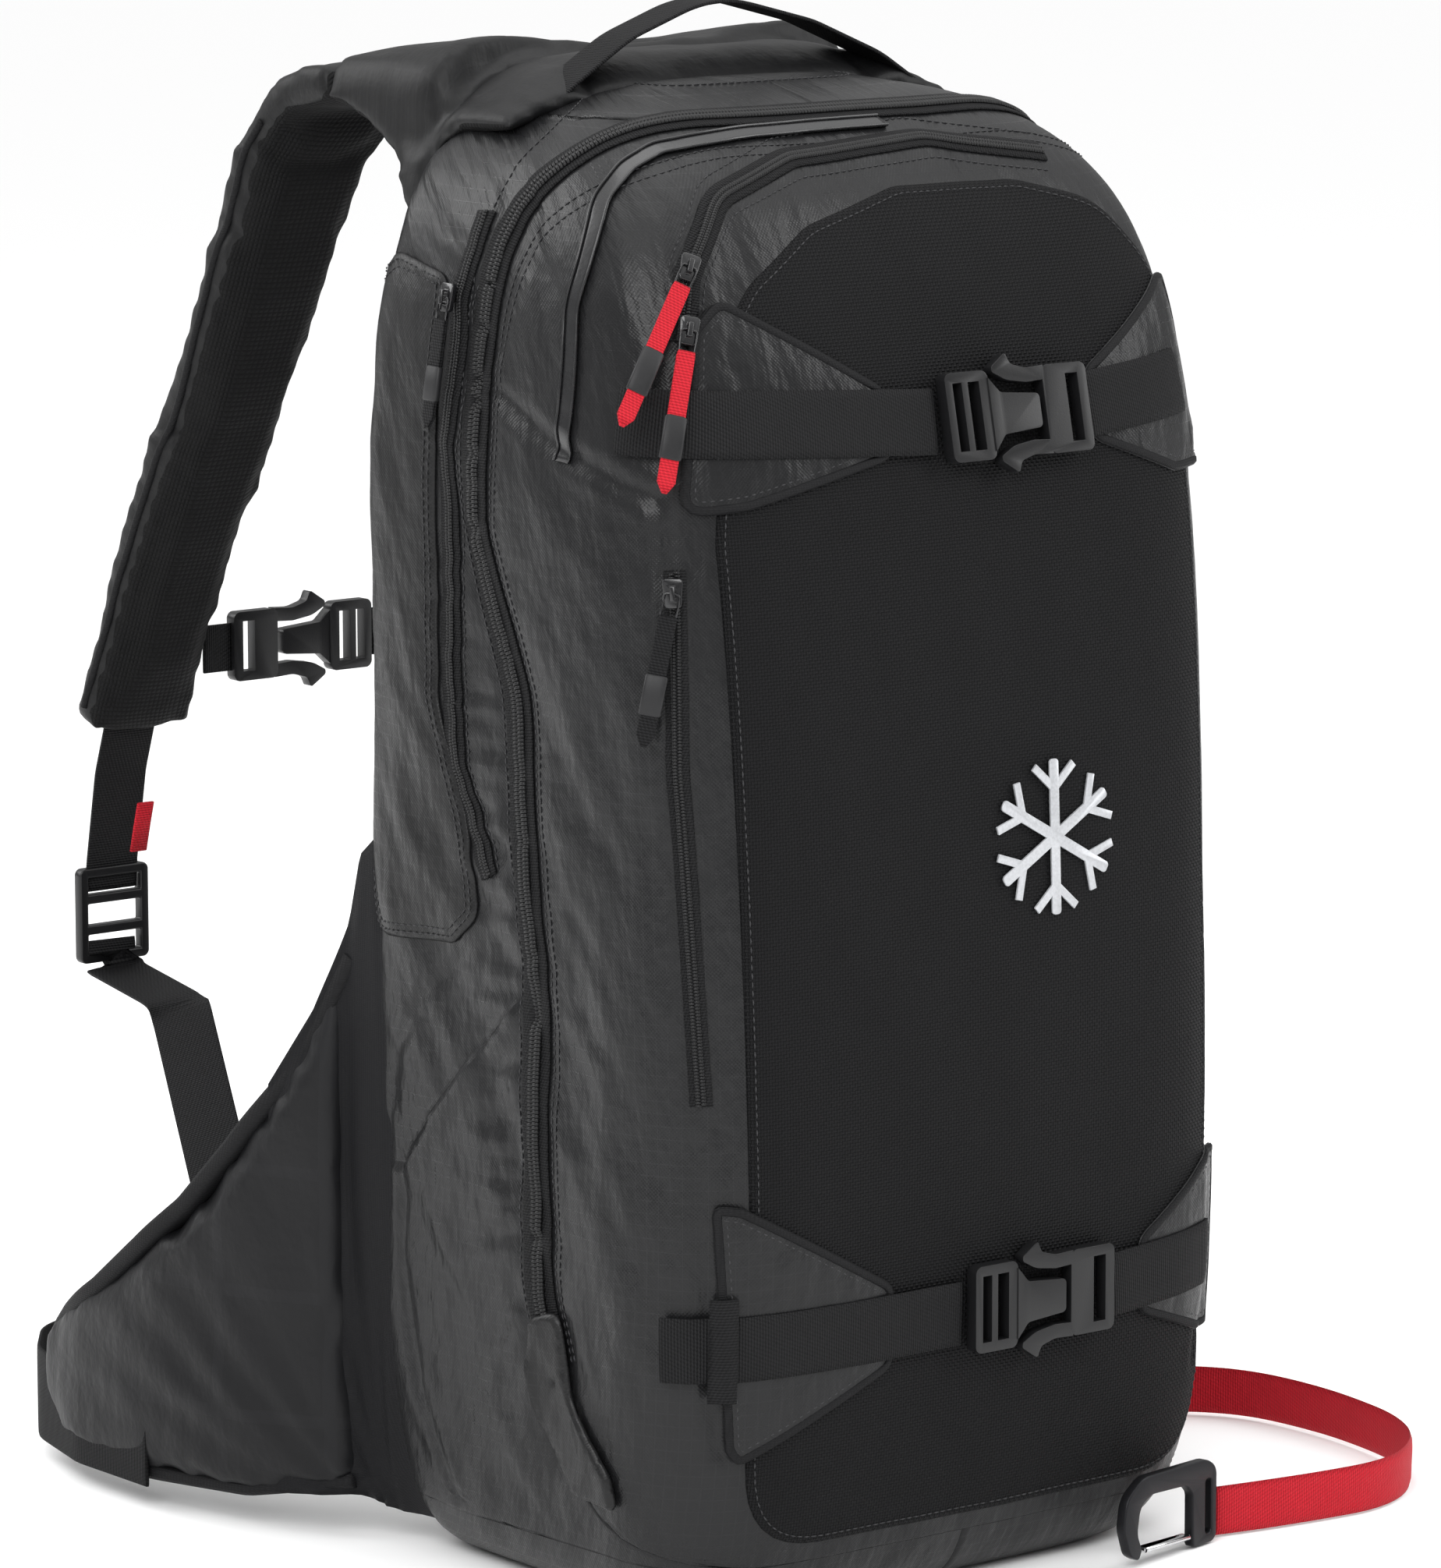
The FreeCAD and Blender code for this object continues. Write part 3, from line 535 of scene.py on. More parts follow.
def round_at(z, y=None, x=None, sign=-1):
    """Distances round at which level z reaches a given y on one side, or x on the front."""
    z = np.atleast_1d(np.asarray(z, float))
    value = np.broadcast_to(np.asarray(x if y is None else y, float), z.shape)
    out = np.zeros(z.shape)
    for i in range(len(z)):
        low = int(np.clip(np.searchsorted(ROWS, z[i]) - 1, 0, len(ROWS) - 2))
        share = float(np.clip((z[i] - ROWS[low]) / (ROWS[low + 1] - ROWS[low]), 0, 1))
        found = []
        for row in (low, low + 1):
            if y is None:
                near = np.abs(AROUND) < 210
                keys, us = table_x[row][near], AROUND[near]
            else:
                near = (AROUND * sign > 4) & (np.abs(AROUND) < half_way[row] - 4)
                keys, us = table_y[row][near], AROUND[near]
            order = np.argsort(keys, kind="stable")
            found.append(float(np.interp(value[i], keys[order], us[order])))
        out[i] = found[0] * (1 - share) + found[1] * share
    return out


# %% Finding the place of any point on the bag
def surface_tree():
    points = [Vector((table_x[r, c], table_y[r, c], ROWS[r]))
              for r in range(len(ROWS)) for c in range(len(AROUND))]
    wide = len(AROUND)
    faces = []
    for r in range(len(ROWS) - 1):
        for c in range(wide - 1):
            if abs(AROUND[c]) <= max(half_way[r], half_way[r + 1]) + STEP:
                k = r * wide + c
                faces.append((k, k + 1, k + wide + 1, k + wide))
    return BVHTree.FromPolygons(points, faces), np.array(faces)


bag_tree, bag_faces = surface_tree()


def drape(points):
    """Nearest places on the bag, as distance round and height."""
    out = np.zeros((len(points), 2))
    for i, point in enumerate(points):
        hit, _, face, _ = bag_tree.find_nearest(Vector(point))
        corner = bag_faces[face][0]
        row, column = divmod(int(corner), len(AROUND))
        one = Vector((table_x[row, column], table_y[row, column], ROWS[row]))
        two = Vector((table_x[row, column + 1], table_y[row, column + 1], ROWS[row]))
        three = Vector((table_x[row + 1, column], table_y[row + 1, column], ROWS[row + 1]))
        run, rise = two - one, three - one
        up = rise - run * (rise.dot(run) / run.length_squared)
        f = (hit - one).dot(up) / max(up.length_squared, 1e-9)
        g = (hit - one - rise * f).dot(run) / run.length_squared
        out[i] = AROUND[column] + STEP * g, ROWS[row] + f * (ROWS[row + 1] - ROWS[row])
    return out


# %% [markdown]
# A stuffed bag is never smooth. The cloth puckers where a zip is sewn to it, hangs in long soft
# folds between, and sinks along its seams. One field gives this relief at every place, so the
# cloth, the panels over it and the webbing over them all rise and sink together.

# %% Relief of the stuffed cloth
def smooth(edge0, edge1, value):
    t = np.clip((value - edge0) / (edge1 - edge0), 0, 1)
    return t * t * (3 - 2 * t)


def grain(u, z, size, seed):
    """Smooth noise over the cloth, folds of about the given size in mm."""
    return np.array([noise.noise(Vector((a / size, b / size, seed))) for a, b in zip(u, z)])


def off_line(u, z, line):
    """Distance to a line of (u, z) points, and how far along it, in mm."""
    best = np.full(len(u), 1e9)
    along = np.zeros(len(u))
    run = 0.0
    for (u0, z0), (u1, z1) in zip(line[:-1], line[1:]):
        length = math.hypot(u1 - u0, z1 - z0)
        t = np.clip(((u - u0) * (u1 - u0) + (z - z0) * (z1 - z0)) / length ** 2, 0, 1)
        far = np.hypot(u - u0 - t * (u1 - u0), z - z0 - t * (z1 - z0))
        near = far < best
        along = np.where(near, run + t * length, along)
        best = np.minimum(best, far)
        run += length
    return best, along


def rounded(path, step=2.5, radius=12.0):
    """A line with its corners rounded, in even steps."""
    points = np.array(path, float)
    dense = [points[0]]
    for i in range(1, len(points) - 1):
        before, corner, after = points[i - 1], points[i], points[i + 1]
        one, two = before - corner, after - corner
        long_one, long_two = np.linalg.norm(one), np.linalg.norm(two)
        half = math.acos(np.clip(one.dot(two) / (long_one * long_two), -1, 1)) / 2
        reach = min(radius / max(math.tan(half), 1e-6), 0.47 * long_one, 0.47 * long_two)
        for t in np.linspace(0, 1, 9):
            dense.append((1 - t) ** 2 * (corner + one * reach / long_one)
                         + 2 * t * (1 - t) * corner + t * t * (corner + two * reach / long_two))
    dense.append(points[-1])
    return even(np.array(dense), step)


def even(points, step=2.5):
    """The same line in even steps."""
    run = np.concatenate([[0], np.cumsum(np.linalg.norm(np.diff(points, axis=0), axis=1))])
    at = np.linspace(0, run[-1], max(int(round(run[-1] / step)), 2) + 1)
    return np.stack([np.interp(at, run, points[:, k]) for k in range(points.shape[1])], 1)


def side_line(points, sign=-1):
    """(y, z) points on a side as (distance round, z)."""
    points = np.asarray(points, float)
    return np.stack([round_at(points[:, 1], y=points[:, 0], sign=sign), points[:, 1]], 1)


def front_line(points):
    """(x, z) points on the front as (distance round, z)."""
    points = np.asarray(points, float)
    return np.stack([round_at(points[:, 1], x=points[:, 0]), points[:, 1]], 1)


MAIN_ZIP = [(-14, 566), (12, 535), (20, 480), (18, 410), (-4, 350), (-16, 250), (-17, 120),
            (-40, 36), (-96, 22)]
CREASE = side_line([(6, 464), (-28, 448), (-57, 438), (-75, 432)])
CORNER = side_line([(-76, 431), (-88, 284), (-93, 206), (-95, 146), (-95, 97), (-96, 71)])
POCKET = side_line([(-10, 238), (22, 208), (48, 182), (70, 156)])
POCKET_LOW = side_line([(70, 156), (74, 120), (66, 70), (48, 30)])
HIP = side_line([(28, 247), (56, 226), (74, 200), (82, 168), (84, 140)])
ZIP_LEFT = side_line([(12, 535), (20, 480), (18, 410), (-4, 350), (-16, 250), (-17, 120),
                      (-30, 60)])
ZIP_RIGHT = ZIP_LEFT * (-1, 1)


def lift(u, z):
    """Height of the cloth above the drawn bag, in mm, at every place."""
    u, z = (np.ravel(v).astype(float) for v in np.broadcast_arrays(u, z))
    edge = smooth(3, 40, z) * smooth(574, 540, z)
    front = smooth(150, 60, np.abs(u))
    side = smooth(120, 190, np.abs(u)) * smooth(330, 290, np.abs(u))
    rear = smooth(300, 340, np.abs(u))
    soft = grain(u, z * 0.45, 44, 3.1) * 2.6 + grain(u + 0.5 * z, z * 0.35, 21, 8.4) * 1.3
    drag = grain(u * 1.3 + z, z * 0.25 - u * 0.2, 15, 4.4)
    field = edge * (soft * (0.35 * front + 1.0 * side + 0.15 * rear)
                    + 0.8 * drag * side * smooth(430, 330, z))
    for line in (ZIP_LEFT, ZIP_RIGHT):
        far, along = off_line(u, z, line)
        ahead = np.sign(line[0][0]) * (u - np.interp(z, line[::-1, 1], line[::-1, 0])) > 0
        pleat = grain(along / 7.5, far / 30, 1, 1.7)
        strong = smooth(430, 300, z) * smooth(24, 70, z)
        fade = smooth(9, 14, far) * smooth(58, 14, far)
        field += pleat * fade * np.where(ahead, 2.2, 0.5) * (0.25 + 0.75 * strong)
        field -= 0.9 * smooth(13, 8, far)
    for line, depth, width in ((CREASE, 1.5, 5), (CREASE * (-1, 1), 1.5, 5), (CORNER, 1.1, 4),
                               (CORNER * (-1, 1), 1.1, 4), (POCKET_LOW, 1.3, 4), (HIP, 1.0, 4)):
        far, _ = off_line(u, z, line)
        field -= depth * smooth(width, 0, far)
        swelling = smooth(width * 3, width * 1.3, far) * smooth(width * 0.8, width * 1.6, far)
        field += 0.35 * depth * swelling
    far, along = off_line(u, z, POCKET)
    below = (z < np.interp(u, POCKET[::-1, 0], POCKET[::-1, 1]))
    field += np.where(below, 1.8, -1.0) * smooth(13, 1, far) * smooth(0, 20, along)
    return field


def on_bag(u, z, offset):
    """Points a given height above the stuffed cloth, in mm."""
    u, z = (np.ravel(v).astype(float) for v in np.broadcast_arrays(u, z))
    return spot(u, z) + facing(u, z) * (np.ravel(offset) + lift(u, z))[:, None]


# %% [markdown]
# ## Pieces
# Everything sewn to the bag is one of three things: a skin (the bag's own cloth), a patch with a
# cut outline, or a band such as webbing, tape or binding. All are made on the surface, then given
# a thickness towards the bag, the way layers lie on each other.

# %% Making a piece
def piece(name, points, faces, finish, body, nodes=(), cloth=None, thick=0.0, slot=None):
    """A mesh from millimetre points, riding a body."""
    mesh = bpy.data.meshes.new(name)
    mesh.from_pydata([Vector(p) * MM for p in points], [], faces)
    if cloth is not None:
        where = np.zeros((len(points), 3), np.float32)
        where[:, :2] = np.asarray(cloth)[:, :2] * MM
        data = mesh.attributes.new("cloth", "FLOAT_VECTOR", "POINT")
        data.data.foreach_set("vector", where.ravel())
    mesh.materials.append(finish)
    mesh.shade_smooth()
    made = bpy.data.objects.new(name, mesh)
    scene.collection.objects.link(made)
    if thick:
        wall = made.modifiers.new("thickness", "SOLIDIFY")
        wall.thickness = thick * MM
        wall.offset = -1
        wall.use_even_offset = False
    if nodes:
        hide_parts(*nodes)
    if body:
        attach(made, body)
    return made


def heal(made):
    """Turn every face of a piece outward."""
    cure = bmesh.new()
    cure.from_mesh(made.data)
    bmesh.ops.recalc_face_normals(cure, faces=cure.faces)
    cure.to_mesh(made.data)
    cure.free()
    return made


def grid_faces(rows, columns, closed=False):
    faces = []
    for r in range(rows - 1):
        for c in range(columns - (0 if closed else 1)):
            d = (c + 1) % columns
            faces.append((r * columns + c, r * columns + d, (r + 1) * columns + d,
                          (r + 1) * columns + c))
    return faces


def path_round(line3):
    """Places on the bag of a line of 3-D points, smoothed."""
    places = drape(line3)
    for _ in range(2):
        places[1:-1] = (places[:-2] + 2 * places[1:-1] + places[2:]) / 4
    return places


def side_step(line):
    """Points, and the direction across, along a line on the bag."""
    here = spot(line[:, 0], line[:, 1])
    ahead = np.gradient(here, axis=0)
    ahead /= np.maximum(np.linalg.norm(ahead, axis=1, keepdims=True), 1e-9)
    out = facing(line[:, 0], line[:, 1])
    across = np.cross(out, ahead)
    return here, across / np.maximum(np.linalg.norm(across, axis=1, keepdims=True), 1e-9)


def band(name, line, low, high, height, finish, body, thick=1.2, dip=0.5, lanes=7, nodes=(),
         crown=0.0, slot=None):
    """A strip on the bag from low to high across a line, its face at the given height."""
    here, across = side_step(line)
    share = np.linspace(-1, 1, lanes)
    a = (low + high) / 2 + share * (high - low) / 2
    points = (here[:, None, :] + across[:, None, :] * a[None, :, None]).reshape(-1, 3)
    places = drape(points)
    edge = np.maximum(1 - np.abs(share) ** 4, 0) * crown - np.abs(share) ** 10 * dip
    rise = np.tile(edge, len(line)) + height
    run = np.concatenate([[0], np.cumsum(np.linalg.norm(np.diff(here, axis=0), axis=1))])
    cloth = np.stack([np.repeat(run, lanes), np.tile(a, len(line))], 1)
    solid_points = on_bag(places[:, 0], places[:, 1], rise)
    faces = [(k, k + lanes, k + lanes + 1, k + 1)
             for i in range(len(line) - 1) for k in range(i * lanes, (i + 1) * lanes - 1)]
    return piece(name, solid_points, faces, finish, body, nodes, cloth, thick, slot)


# %% Patches cut from a sheet
def inside(points, outline):
    x, y = points[:, 0], points[:, 1]
    hit = np.zeros(len(points), bool)
    for (x0, y0), (x1, y1) in zip(outline, np.roll(outline, -1, axis=0)):
        if y0 != y1:
            cross = ((y0 > y) != (y1 > y)) & (x < (x1 - x0) * (y - y0) / (y1 - y0) + x0)
            hit ^= cross
    return hit


def loop(path, radius, step=2.5):
    """A closed outline with rounded corners, in even steps."""
    points = np.array(path, float)
    middle = (points[-1] + points[0]) / 2
    return rounded(np.vstack([middle, points, middle]), step, radius)[:-1]


TURNED_EDGE = (0.7, 1.8)    # rows of points that turn a patch's edge down, in from the edge


def inset(outline, amount):
    """The outline moved inward (or outward when negative)."""
    ahead = np.roll(outline, -1, axis=0) - np.roll(outline, 1, axis=0)
    normal = np.stack([-ahead[:, 1], ahead[:, 0]], 1)
    normal /= np.maximum(np.linalg.norm(normal, axis=1, keepdims=True), 1e-9)
    area = 0.5 * np.sum(outline[:, 0] * np.roll(outline[:, 1], -1)
                        - np.roll(outline[:, 0], -1) * outline[:, 1])
    return outline + normal * amount * np.sign(area)


def closed(outline):
    return np.vstack([outline, outline[:1]])


def patch(name, outline, height, finish, body, thick=1.0, dip=0.9, step=3.0, nodes=(), slot=None,
          puff=0.0):
    """A cut piece of cloth laid on the bag; its edge is turned down onto the layer below."""
    low, high = outline.min(0), outline.max(0)
    gx, gz = np.meshgrid(np.arange(low[0], high[0], step), np.arange(low[1], high[1], step))
    gx = gx + (np.arange(gx.shape[0])[:, None] % 2) * step / 2
    field = np.stack([gx.ravel(), gz.ravel()], 1)
    far, _ = off_line(field[:, 0], field[:, 1], closed(outline))
    field = field[inside(field, outline) & (far > step * 0.55)]
    rims = [inset(outline, amount) for amount in TURNED_EDGE]
    flat = [Vector(p) for p in np.vstack([outline, *rims, field])]
    count = len(outline)
    edges = [(i, (i + 1) % count) for i in range(count)]
    made, _, faces, _, _, _ = delaunay_2d_cdt(flat, edges, [], 1, 1e-4)
    made = np.array([tuple(v) for v in made])
    faces = [tuple(f) for f in faces]
    faces = [f if np.cross(made[f[1]] - made[f[0]], made[f[2]] - made[f[0]]) > 0 else f[::-1]
             for f in faces]
    far, _ = off_line(made[:, 0], made[:, 1], closed(outline))
    rise = height - dip * smooth(1.6, 0.0, far) + puff * smooth(0, 14, far)
    points = on_bag(made[:, 0], made[:, 1], rise)
    return piece(name, points, faces, finish, body, nodes, made, thick, slot)


# %% Rows of stitches
def stitches(name, lines, height, body, pitch=3.3, length=2.4, size=0.34, sink=0.12):
    """Short thread capsules sunk into the cloth along lines of (distance round, height)."""
    points, faces = [], []
    for line in lines:
        here = on_bag(line[:, 0], line[:, 1], height)
        run = np.concatenate([[0], np.cumsum(np.linalg.norm(np.diff(here, axis=0), axis=1))])
        count = int(run[-1] / pitch)
        for i in range(count):
            at = (i + 0.5) * pitch
            ends = [np.array([np.interp(at + d, run, here[:, k]) for k in range(3)])
                    for d in (-length / 2, 0, length / 2)]
            places = [float(np.interp(at, run, line[:, k])) for k in range(2)]
            out = facing(places[0], places[1])[0]
            ahead = ends[2] - ends[0]
            ahead /= max(np.linalg.norm(ahead), 1e-9)
            across = np.cross(out, ahead)
            base = len(points)
            for j, (end, wide) in enumerate(zip(ends, (0.35, 1.0, 0.35))):
                for k in range(5):
                    turn = 2 * math.pi * k / 5
                    points.append(end + across * size * wide * math.cos(turn)
                                  + out * (size * wide * math.sin(turn) - sink * (2 - 2 * wide)))
            for j in range(2):
                for k in range(5):
                    m = (k + 1) % 5
                    faces.append((base + j * 5 + k, base + j * 5 + m, base + j * 5 + 5 + m,
                                  base + j * 5 + 5 + k))
            faces.append(tuple(base + k for k in range(4, -1, -1)))
            faces.append(tuple(base + 10 + k for k in range(5)))
    return piece(name, points, faces, THREAD, body)


# %% [markdown]
# The bag itself is two skins that meet along the main zip. Each row follows the zip's line on
# both sides, so the cloth ends exactly under the tape.

# %% Skins of the bag
zip_side = rounded(MAIN_ZIP, 1.0, 40)


def split(z):
    """Distance round of the main zip on the right side at height z."""
    z = np.atleast_1d(np.asarray(z, float))
    y = np.interp(z, zip_side[::-1, 1], zip_side[::-1, 0])
    return round_at(z, y=y, sign=1)


def half_turn(z):
    return np.interp(z, ROWS, half_way)


front_rows = np.concatenate([[22.6, 23.2, 24.2, 25.6, 27.5, 30, 32.5], np.arange(35, 500, 2.6),
                             np.arange(500, 563.9, 1.6), [564.0]])
wide = 176
edge_right = split(front_rows)
share = np.linspace(-1, 1, wide)
u = (edge_right[:, None] * share[None, :]).ravel()
z = np.repeat(front_rows, wide)
points = on_bag(u, z, 0)
front_skin = piece("front_skin", points, grid_faces(len(front_rows), wide), RIPSTOP, "front_bag",
                   ["front_shell"], np.stack([u, z], 1), 1.6, "shell_fabric")

rear_rows = np.concatenate([np.arange(0.6, 22.3, 2.4),
                            [22.45, 22.5, 23.2, 24.2, 25.6, 27.5, 30, 32.5],
                            np.arange(35, 500, 2.6), np.arange(500, 563.9, 1.6), [564.1, 564.2],
                            np.arange(565.5, 574, 1.4)])
starts = np.where((rear_rows > 22.46) & (rear_rows < 564.15), split(rear_rows), 0.0)
wide = 190
share = np.linspace(0, 1, wide)
turn = half_turn(rear_rows)
w = starts[:, None] + share[None, :] * (2 * turn - 2 * starts)[:, None]
w = np.where(w > turn[:, None], w - 2 * turn[:, None], w)
z = np.repeat(rear_rows, wide)
points = on_bag(w.ravel(), z, 0)
points[:, 2] = np.maximum(points[:, 2], 0.05)
cloth = np.stack([w.ravel(), z], 1)
first, last = points[:wide], points[-wide:]
caps_low = [first * (s, s, 1) + (0, 2 * (1 - s), 0) for s in (0.05, 0.35, 0.7, 0.93)]
caps_high = [last * (s, s, 1) + (0, 52 * (1 - s), 0.9 * (1 - s * s))
             for s in (0.93, 0.7, 0.35, 0.05)]
cloth_low = [np.stack([c[:, 0] + 300, c[:, 1]], 1) for c in caps_low]
cloth_high = [np.stack([c[:, 0], c[:, 1] + 560], 1) for c in caps_high]
points = np.vstack(caps_low + [points] + caps_high)
cloth = np.vstack(cloth_low + [cloth] + cloth_high)
rear_skin = piece("rear_skin", points, grid_faces(len(rear_rows) + 8, wide), RIPSTOP, "pack",
                  ["base_shell"], cloth, 1.6, "shell_fabric")
print("skins", len(front_skin.data.vertices), len(rear_skin.data.vertices))

# %% [markdown]
# ## Zips
# A zip is two woven tapes with a moulded row of teeth along the edge of each. The rows mesh in
# the middle. Each tooth here is a small six-sided bar lying across the zip; the two halves sit
# half a pitch apart, which is what makes the middle of a closed zip look plaited.

# %% Tapes and teeth
def teeth(name, line, side, body, reach=3.0, pitch=1.5, height=1.1, tall=1.5, shift=0.0):
    """Teeth on one side of a line; side is +1 or -1 across it."""
    here, across = side_step(line)
    run = np.concatenate([[0], np.cumsum(np.linalg.norm(np.diff(here, axis=0), axis=1))])
    at = np.arange(pitch * (0.5 + shift), run[-1], pitch)
    seats = np.stack([np.interp(at, run, line[:, k]) for k in range(2)], 1)
    base = on_bag(seats[:, 0], seats[:, 1], height)
    out = facing(seats[:, 0], seats[:, 1])
    cross = np.stack([np.interp(at, run, across[:, k]) for k in range(3)], 1) * side
    cross -= out * np.sum(cross * out, axis=1, keepdims=True)
    cross /= np.linalg.norm(cross, axis=1, keepdims=True)
    ahead = np.cross(cross, out)
    shape = [(-0.42, 0.0), (-0.55, 0.5), (-0.3, 1.0), (0.3, 1.0), (0.55, 0.5), (0.42, 0.0)]
    points, faces = [], []
    for i in range(len(at)):
        start = len(points)
        for a, low in ((-0.5, 0.35), (0.6, 1.0), (reach - 0.5, 0.95), (reach, 0.4)):
            for f, h in shape:
                points.append(base[i] + cross[i] * a + ahead[i] * f * pitch * (0.75 + 0.25 * low)
                              + out[i] * h * tall * low)
        for j in range(3):
            for k in range(6):
                m = (k + 1) % 6
                faces.append((start + 6 * j + k, start + 6 * j + m, start + 6 * j + 6 + m,
                              start + 6 * j + 6 + k))
        faces.append(tuple(start + k for k in range(6)))
        faces.append(tuple(start + 18 + k for k in range(5, -1, -1)))
    return heal(piece(name, points, faces, COIL, body, slot="zip_tape"))


rise = np.concatenate([np.arange(94, 556, 2.0), np.arange(556, 564, 1.0)])
left_up = np.stack([-split(rise), rise], 1)
across_top = np.stack([np.linspace(-58, 58, 40), np.full(40, 564.15)], 1)
right_down = (left_up * (-1, 1))[::-1]
whole = np.vstack([left_up, across_top, right_down])
main_line = path_round(even(spot(whole[:, 0], whole[:, 1]), 2.0))

band("main_tape_rear", main_line, 0.5, 7.5, 1.15, WEB_BLACK, "pack", 0.8, 0.2, 5,
     ["main_zip_rear"], slot="zip_tape")
band("main_tape_front", main_line, -7.5, -0.5, 1.15, WEB_BLACK, "front_bag", 0.8, 0.2, 5,
     ["main_zip_front"], slot="zip_tape")
teeth("main_teeth_rear", main_line, 1, "pack", 3.2)
teeth("main_teeth_front", main_line, -1, "front_bag", 3.2, shift=0.5)


def small_zip(name, line, body, half=5.0, node=None):
    """Tape and both rows of a small zip that stays closed."""
    band(name, line, -half, half, 1.05, WEB_BLACK, body, 0.7, 0.3, 7, [node], slot="zip_tape")
    teeth(name + "_teeth_a", line, 1, body, 2.1, 1.25, 1.0, 1.15)
    teeth(name + "_teeth_b", line, -1, body, 2.1, 1.25, 1.0, 1.15, shift=0.5)


AIRBAG_ZIP = side_line([(30, 530), (36, 500), (38, 440), (35, 360), (30, 318), (12, 279)])
POCKET_ZIP = front_line([(-116, 488), (-108, 512), (-84, 538), (-40, 550), (30, 554), (84, 546)])
SIDE_ZIP = side_line([(-83, 405), (-87, 330), (-95, 205)])


def on_surface(line, radius=25.0):
    """A line of (distance round, height) corners, rounded and evened on the surface."""
    fine = rounded(line, 1.5, radius)
    return path_round(even(spot(fine[:, 0], fine[:, 1]), 2.0))


small_zip("airbag_tape", on_surface(AIRBAG_ZIP), "pack", 5.2, "airbag_zip")
small_zip("pocket_tape", on_surface(POCKET_ZIP), "front_bag", 5.2, "pocket_zip")
small_zip("side_tape", on_surface(SIDE_ZIP), "front_bag", 4.3, "side_zip")
print("zips made, main zip", round(len(main_line) * 2.0), "mm")

# %% [markdown]
# ## Panels on the bag
# The front is one piece of ballistic cloth under a bound edge. A flap of ripstop covers the
# inflator pocket, and the main zip ends in a folded garage.

# %% Front panel, flap and garage
front_cut = loop([(-108, 30), (-109, 172), (-111, 283), (-114, 414), (-104, 486), (-84, 507),
                  (-50, 526), (0, 538), (60, 538), (98, 528), (122, 500), (124, 30)], 36)
front_cut = np.stack([round_at(front_cut[:, 1], x=front_cut[:, 0]), front_cut[:, 1]], 1)
patch("front_cloth", front_cut, 1.35, BALLISTIC, "front_bag", 1.0, 1.1, 3.2, ["front_panel"],
      "ballistic_fabric")

flap_cut = loop([(43, 505), (45, 430), (41, 345), (24, 292), (20, 262), (34, 250), (82, 247),
                 (96, 280), (96, 500), (80, 512)], 9)
flap_cut = np.stack([round_at(flap_cut[:, 1], y=flap_cut[:, 0]), flap_cut[:, 1]], 1)
patch("flap_cloth", flap_cut, 1.9, RIPSTOP_FLAP, "pack", 1.4, 1.2, 3.0, ["side_flap"],
      "shell_fabric", puff=1.0)
garage_cut = loop([(-29, 118), (-12, 112), (-9, 92), (-14, 74), (-34, 46), (-60, 44), (-58, 58),
                   (-36, 84)], 7)
garage_cut = np.stack([round_at(garage_cut[:, 1], y=garage_cut[:, 0]), garage_cut[:, 1]], 1)
patch("garage_cloth", garage_cut, 4.5, RIPSTOP_FLAP, "front_bag", 1.2, 2.4, 2.6, ["zip_garage"],
      "shell_fabric")
print("panels made")

# %% [markdown]
# Two wings of bound ripstop each side spread the pull of every strap. Their edges carry a folded
# binding with a row of stitches beside it.

# %% Wings
def wing(name, corners, node, radius=9.0):
    cut = loop(corners, radius, 2.2)
    patch(name, cut, 2.65, RIPSTOP, "front_bag", 1.0, 0.7, 2.8, [node], "shell_fabric", puff=0.5)
    band(name + "_binding", closed(inset(cut, 1.9)), -1.8, 1.8, 3.1, BINDING, "front_bag", 1.0,
         0.6, 5, crown=0.3, slot="shell_fabric")
    stitches(name + "_stitches", [closed(inset(cut, 5.2))], 2.75, "front_bag", 3.4)


def around(z, x=None, y=None, sign=-1):
    return float(round_at(z, x=x, y=y, sign=sign)[0])


top_left = [(around(492, x=-113), 492), (around(503, x=-100), 503), (around(466, x=-32), 466),
            (around(440, x=-32), 440), (around(426, x=-100), 426), (around(424, y=-82), 424)]
top_right = [(around(498, y=-59, sign=1), 498), (around(498, x=118), 498), (around(466, x=66), 466),
             (around(440, x=66), 440), (around(424, x=110), 424), (around(425, y=-59, sign=1), 425)]
low_left = [(around(168, y=-97), 168), (around(166, x=-112), 166), (around(128, x=-44), 128),
            (around(96, x=-44), 96), (around(66, x=-112), 66), (around(72, y=-97), 72)]
low_right = [(around(157, y=-87, sign=1), 157), (around(156, x=122), 156), (around(128, x=80), 128),
             (around(98, x=80), 98), (around(84, x=118), 84), (around(84, y=-87, sign=1), 84)]
wing("top_wing_l", top_left, "top_wing_left")
wing("top_wing_r", top_right[::-1], "top_wing_right")
wing("low_wing_l", low_left, "low_wing_left")
wing("low_wing_r", low_right[::-1], "low_wing_right")

# %% Compression straps
WEB = 25.0


def strap(name, start, end, body, node):
    """Webbing over a wing from one place to another."""
    fine = np.stack([np.linspace(start[0], end[0], 80), np.linspace(start[1], end[1], 80)], 1)
    line = path_round(even(spot(fine[:, 0], fine[:, 1]), 2.0))
    band(name, line, -WEB / 2, WEB / 2, 4.6, WEB_BLACK, body, 1.5, 0.45, 9, [node],
         slot="black_webbing")


strap("top_web_left", (around(459.5, y=-61), 459.5), (around(452, x=-12), 452), "front_bag",
      "top_strap_left")
strap("low_web_left", (around(112, y=-83), 112), (around(112, x=-12), 112), "front_bag",
      "low_strap_left")
strap("top_web_right", (around(453, x=64), 453), (around(458, x=118), 458), "top_strap_end",
      "top_strap_right")
strap("low_web_right", (around(112, x=64), 112), (around(116, x=122), 116), "low_strap_end",
      "low_strap_right")
print("straps made")

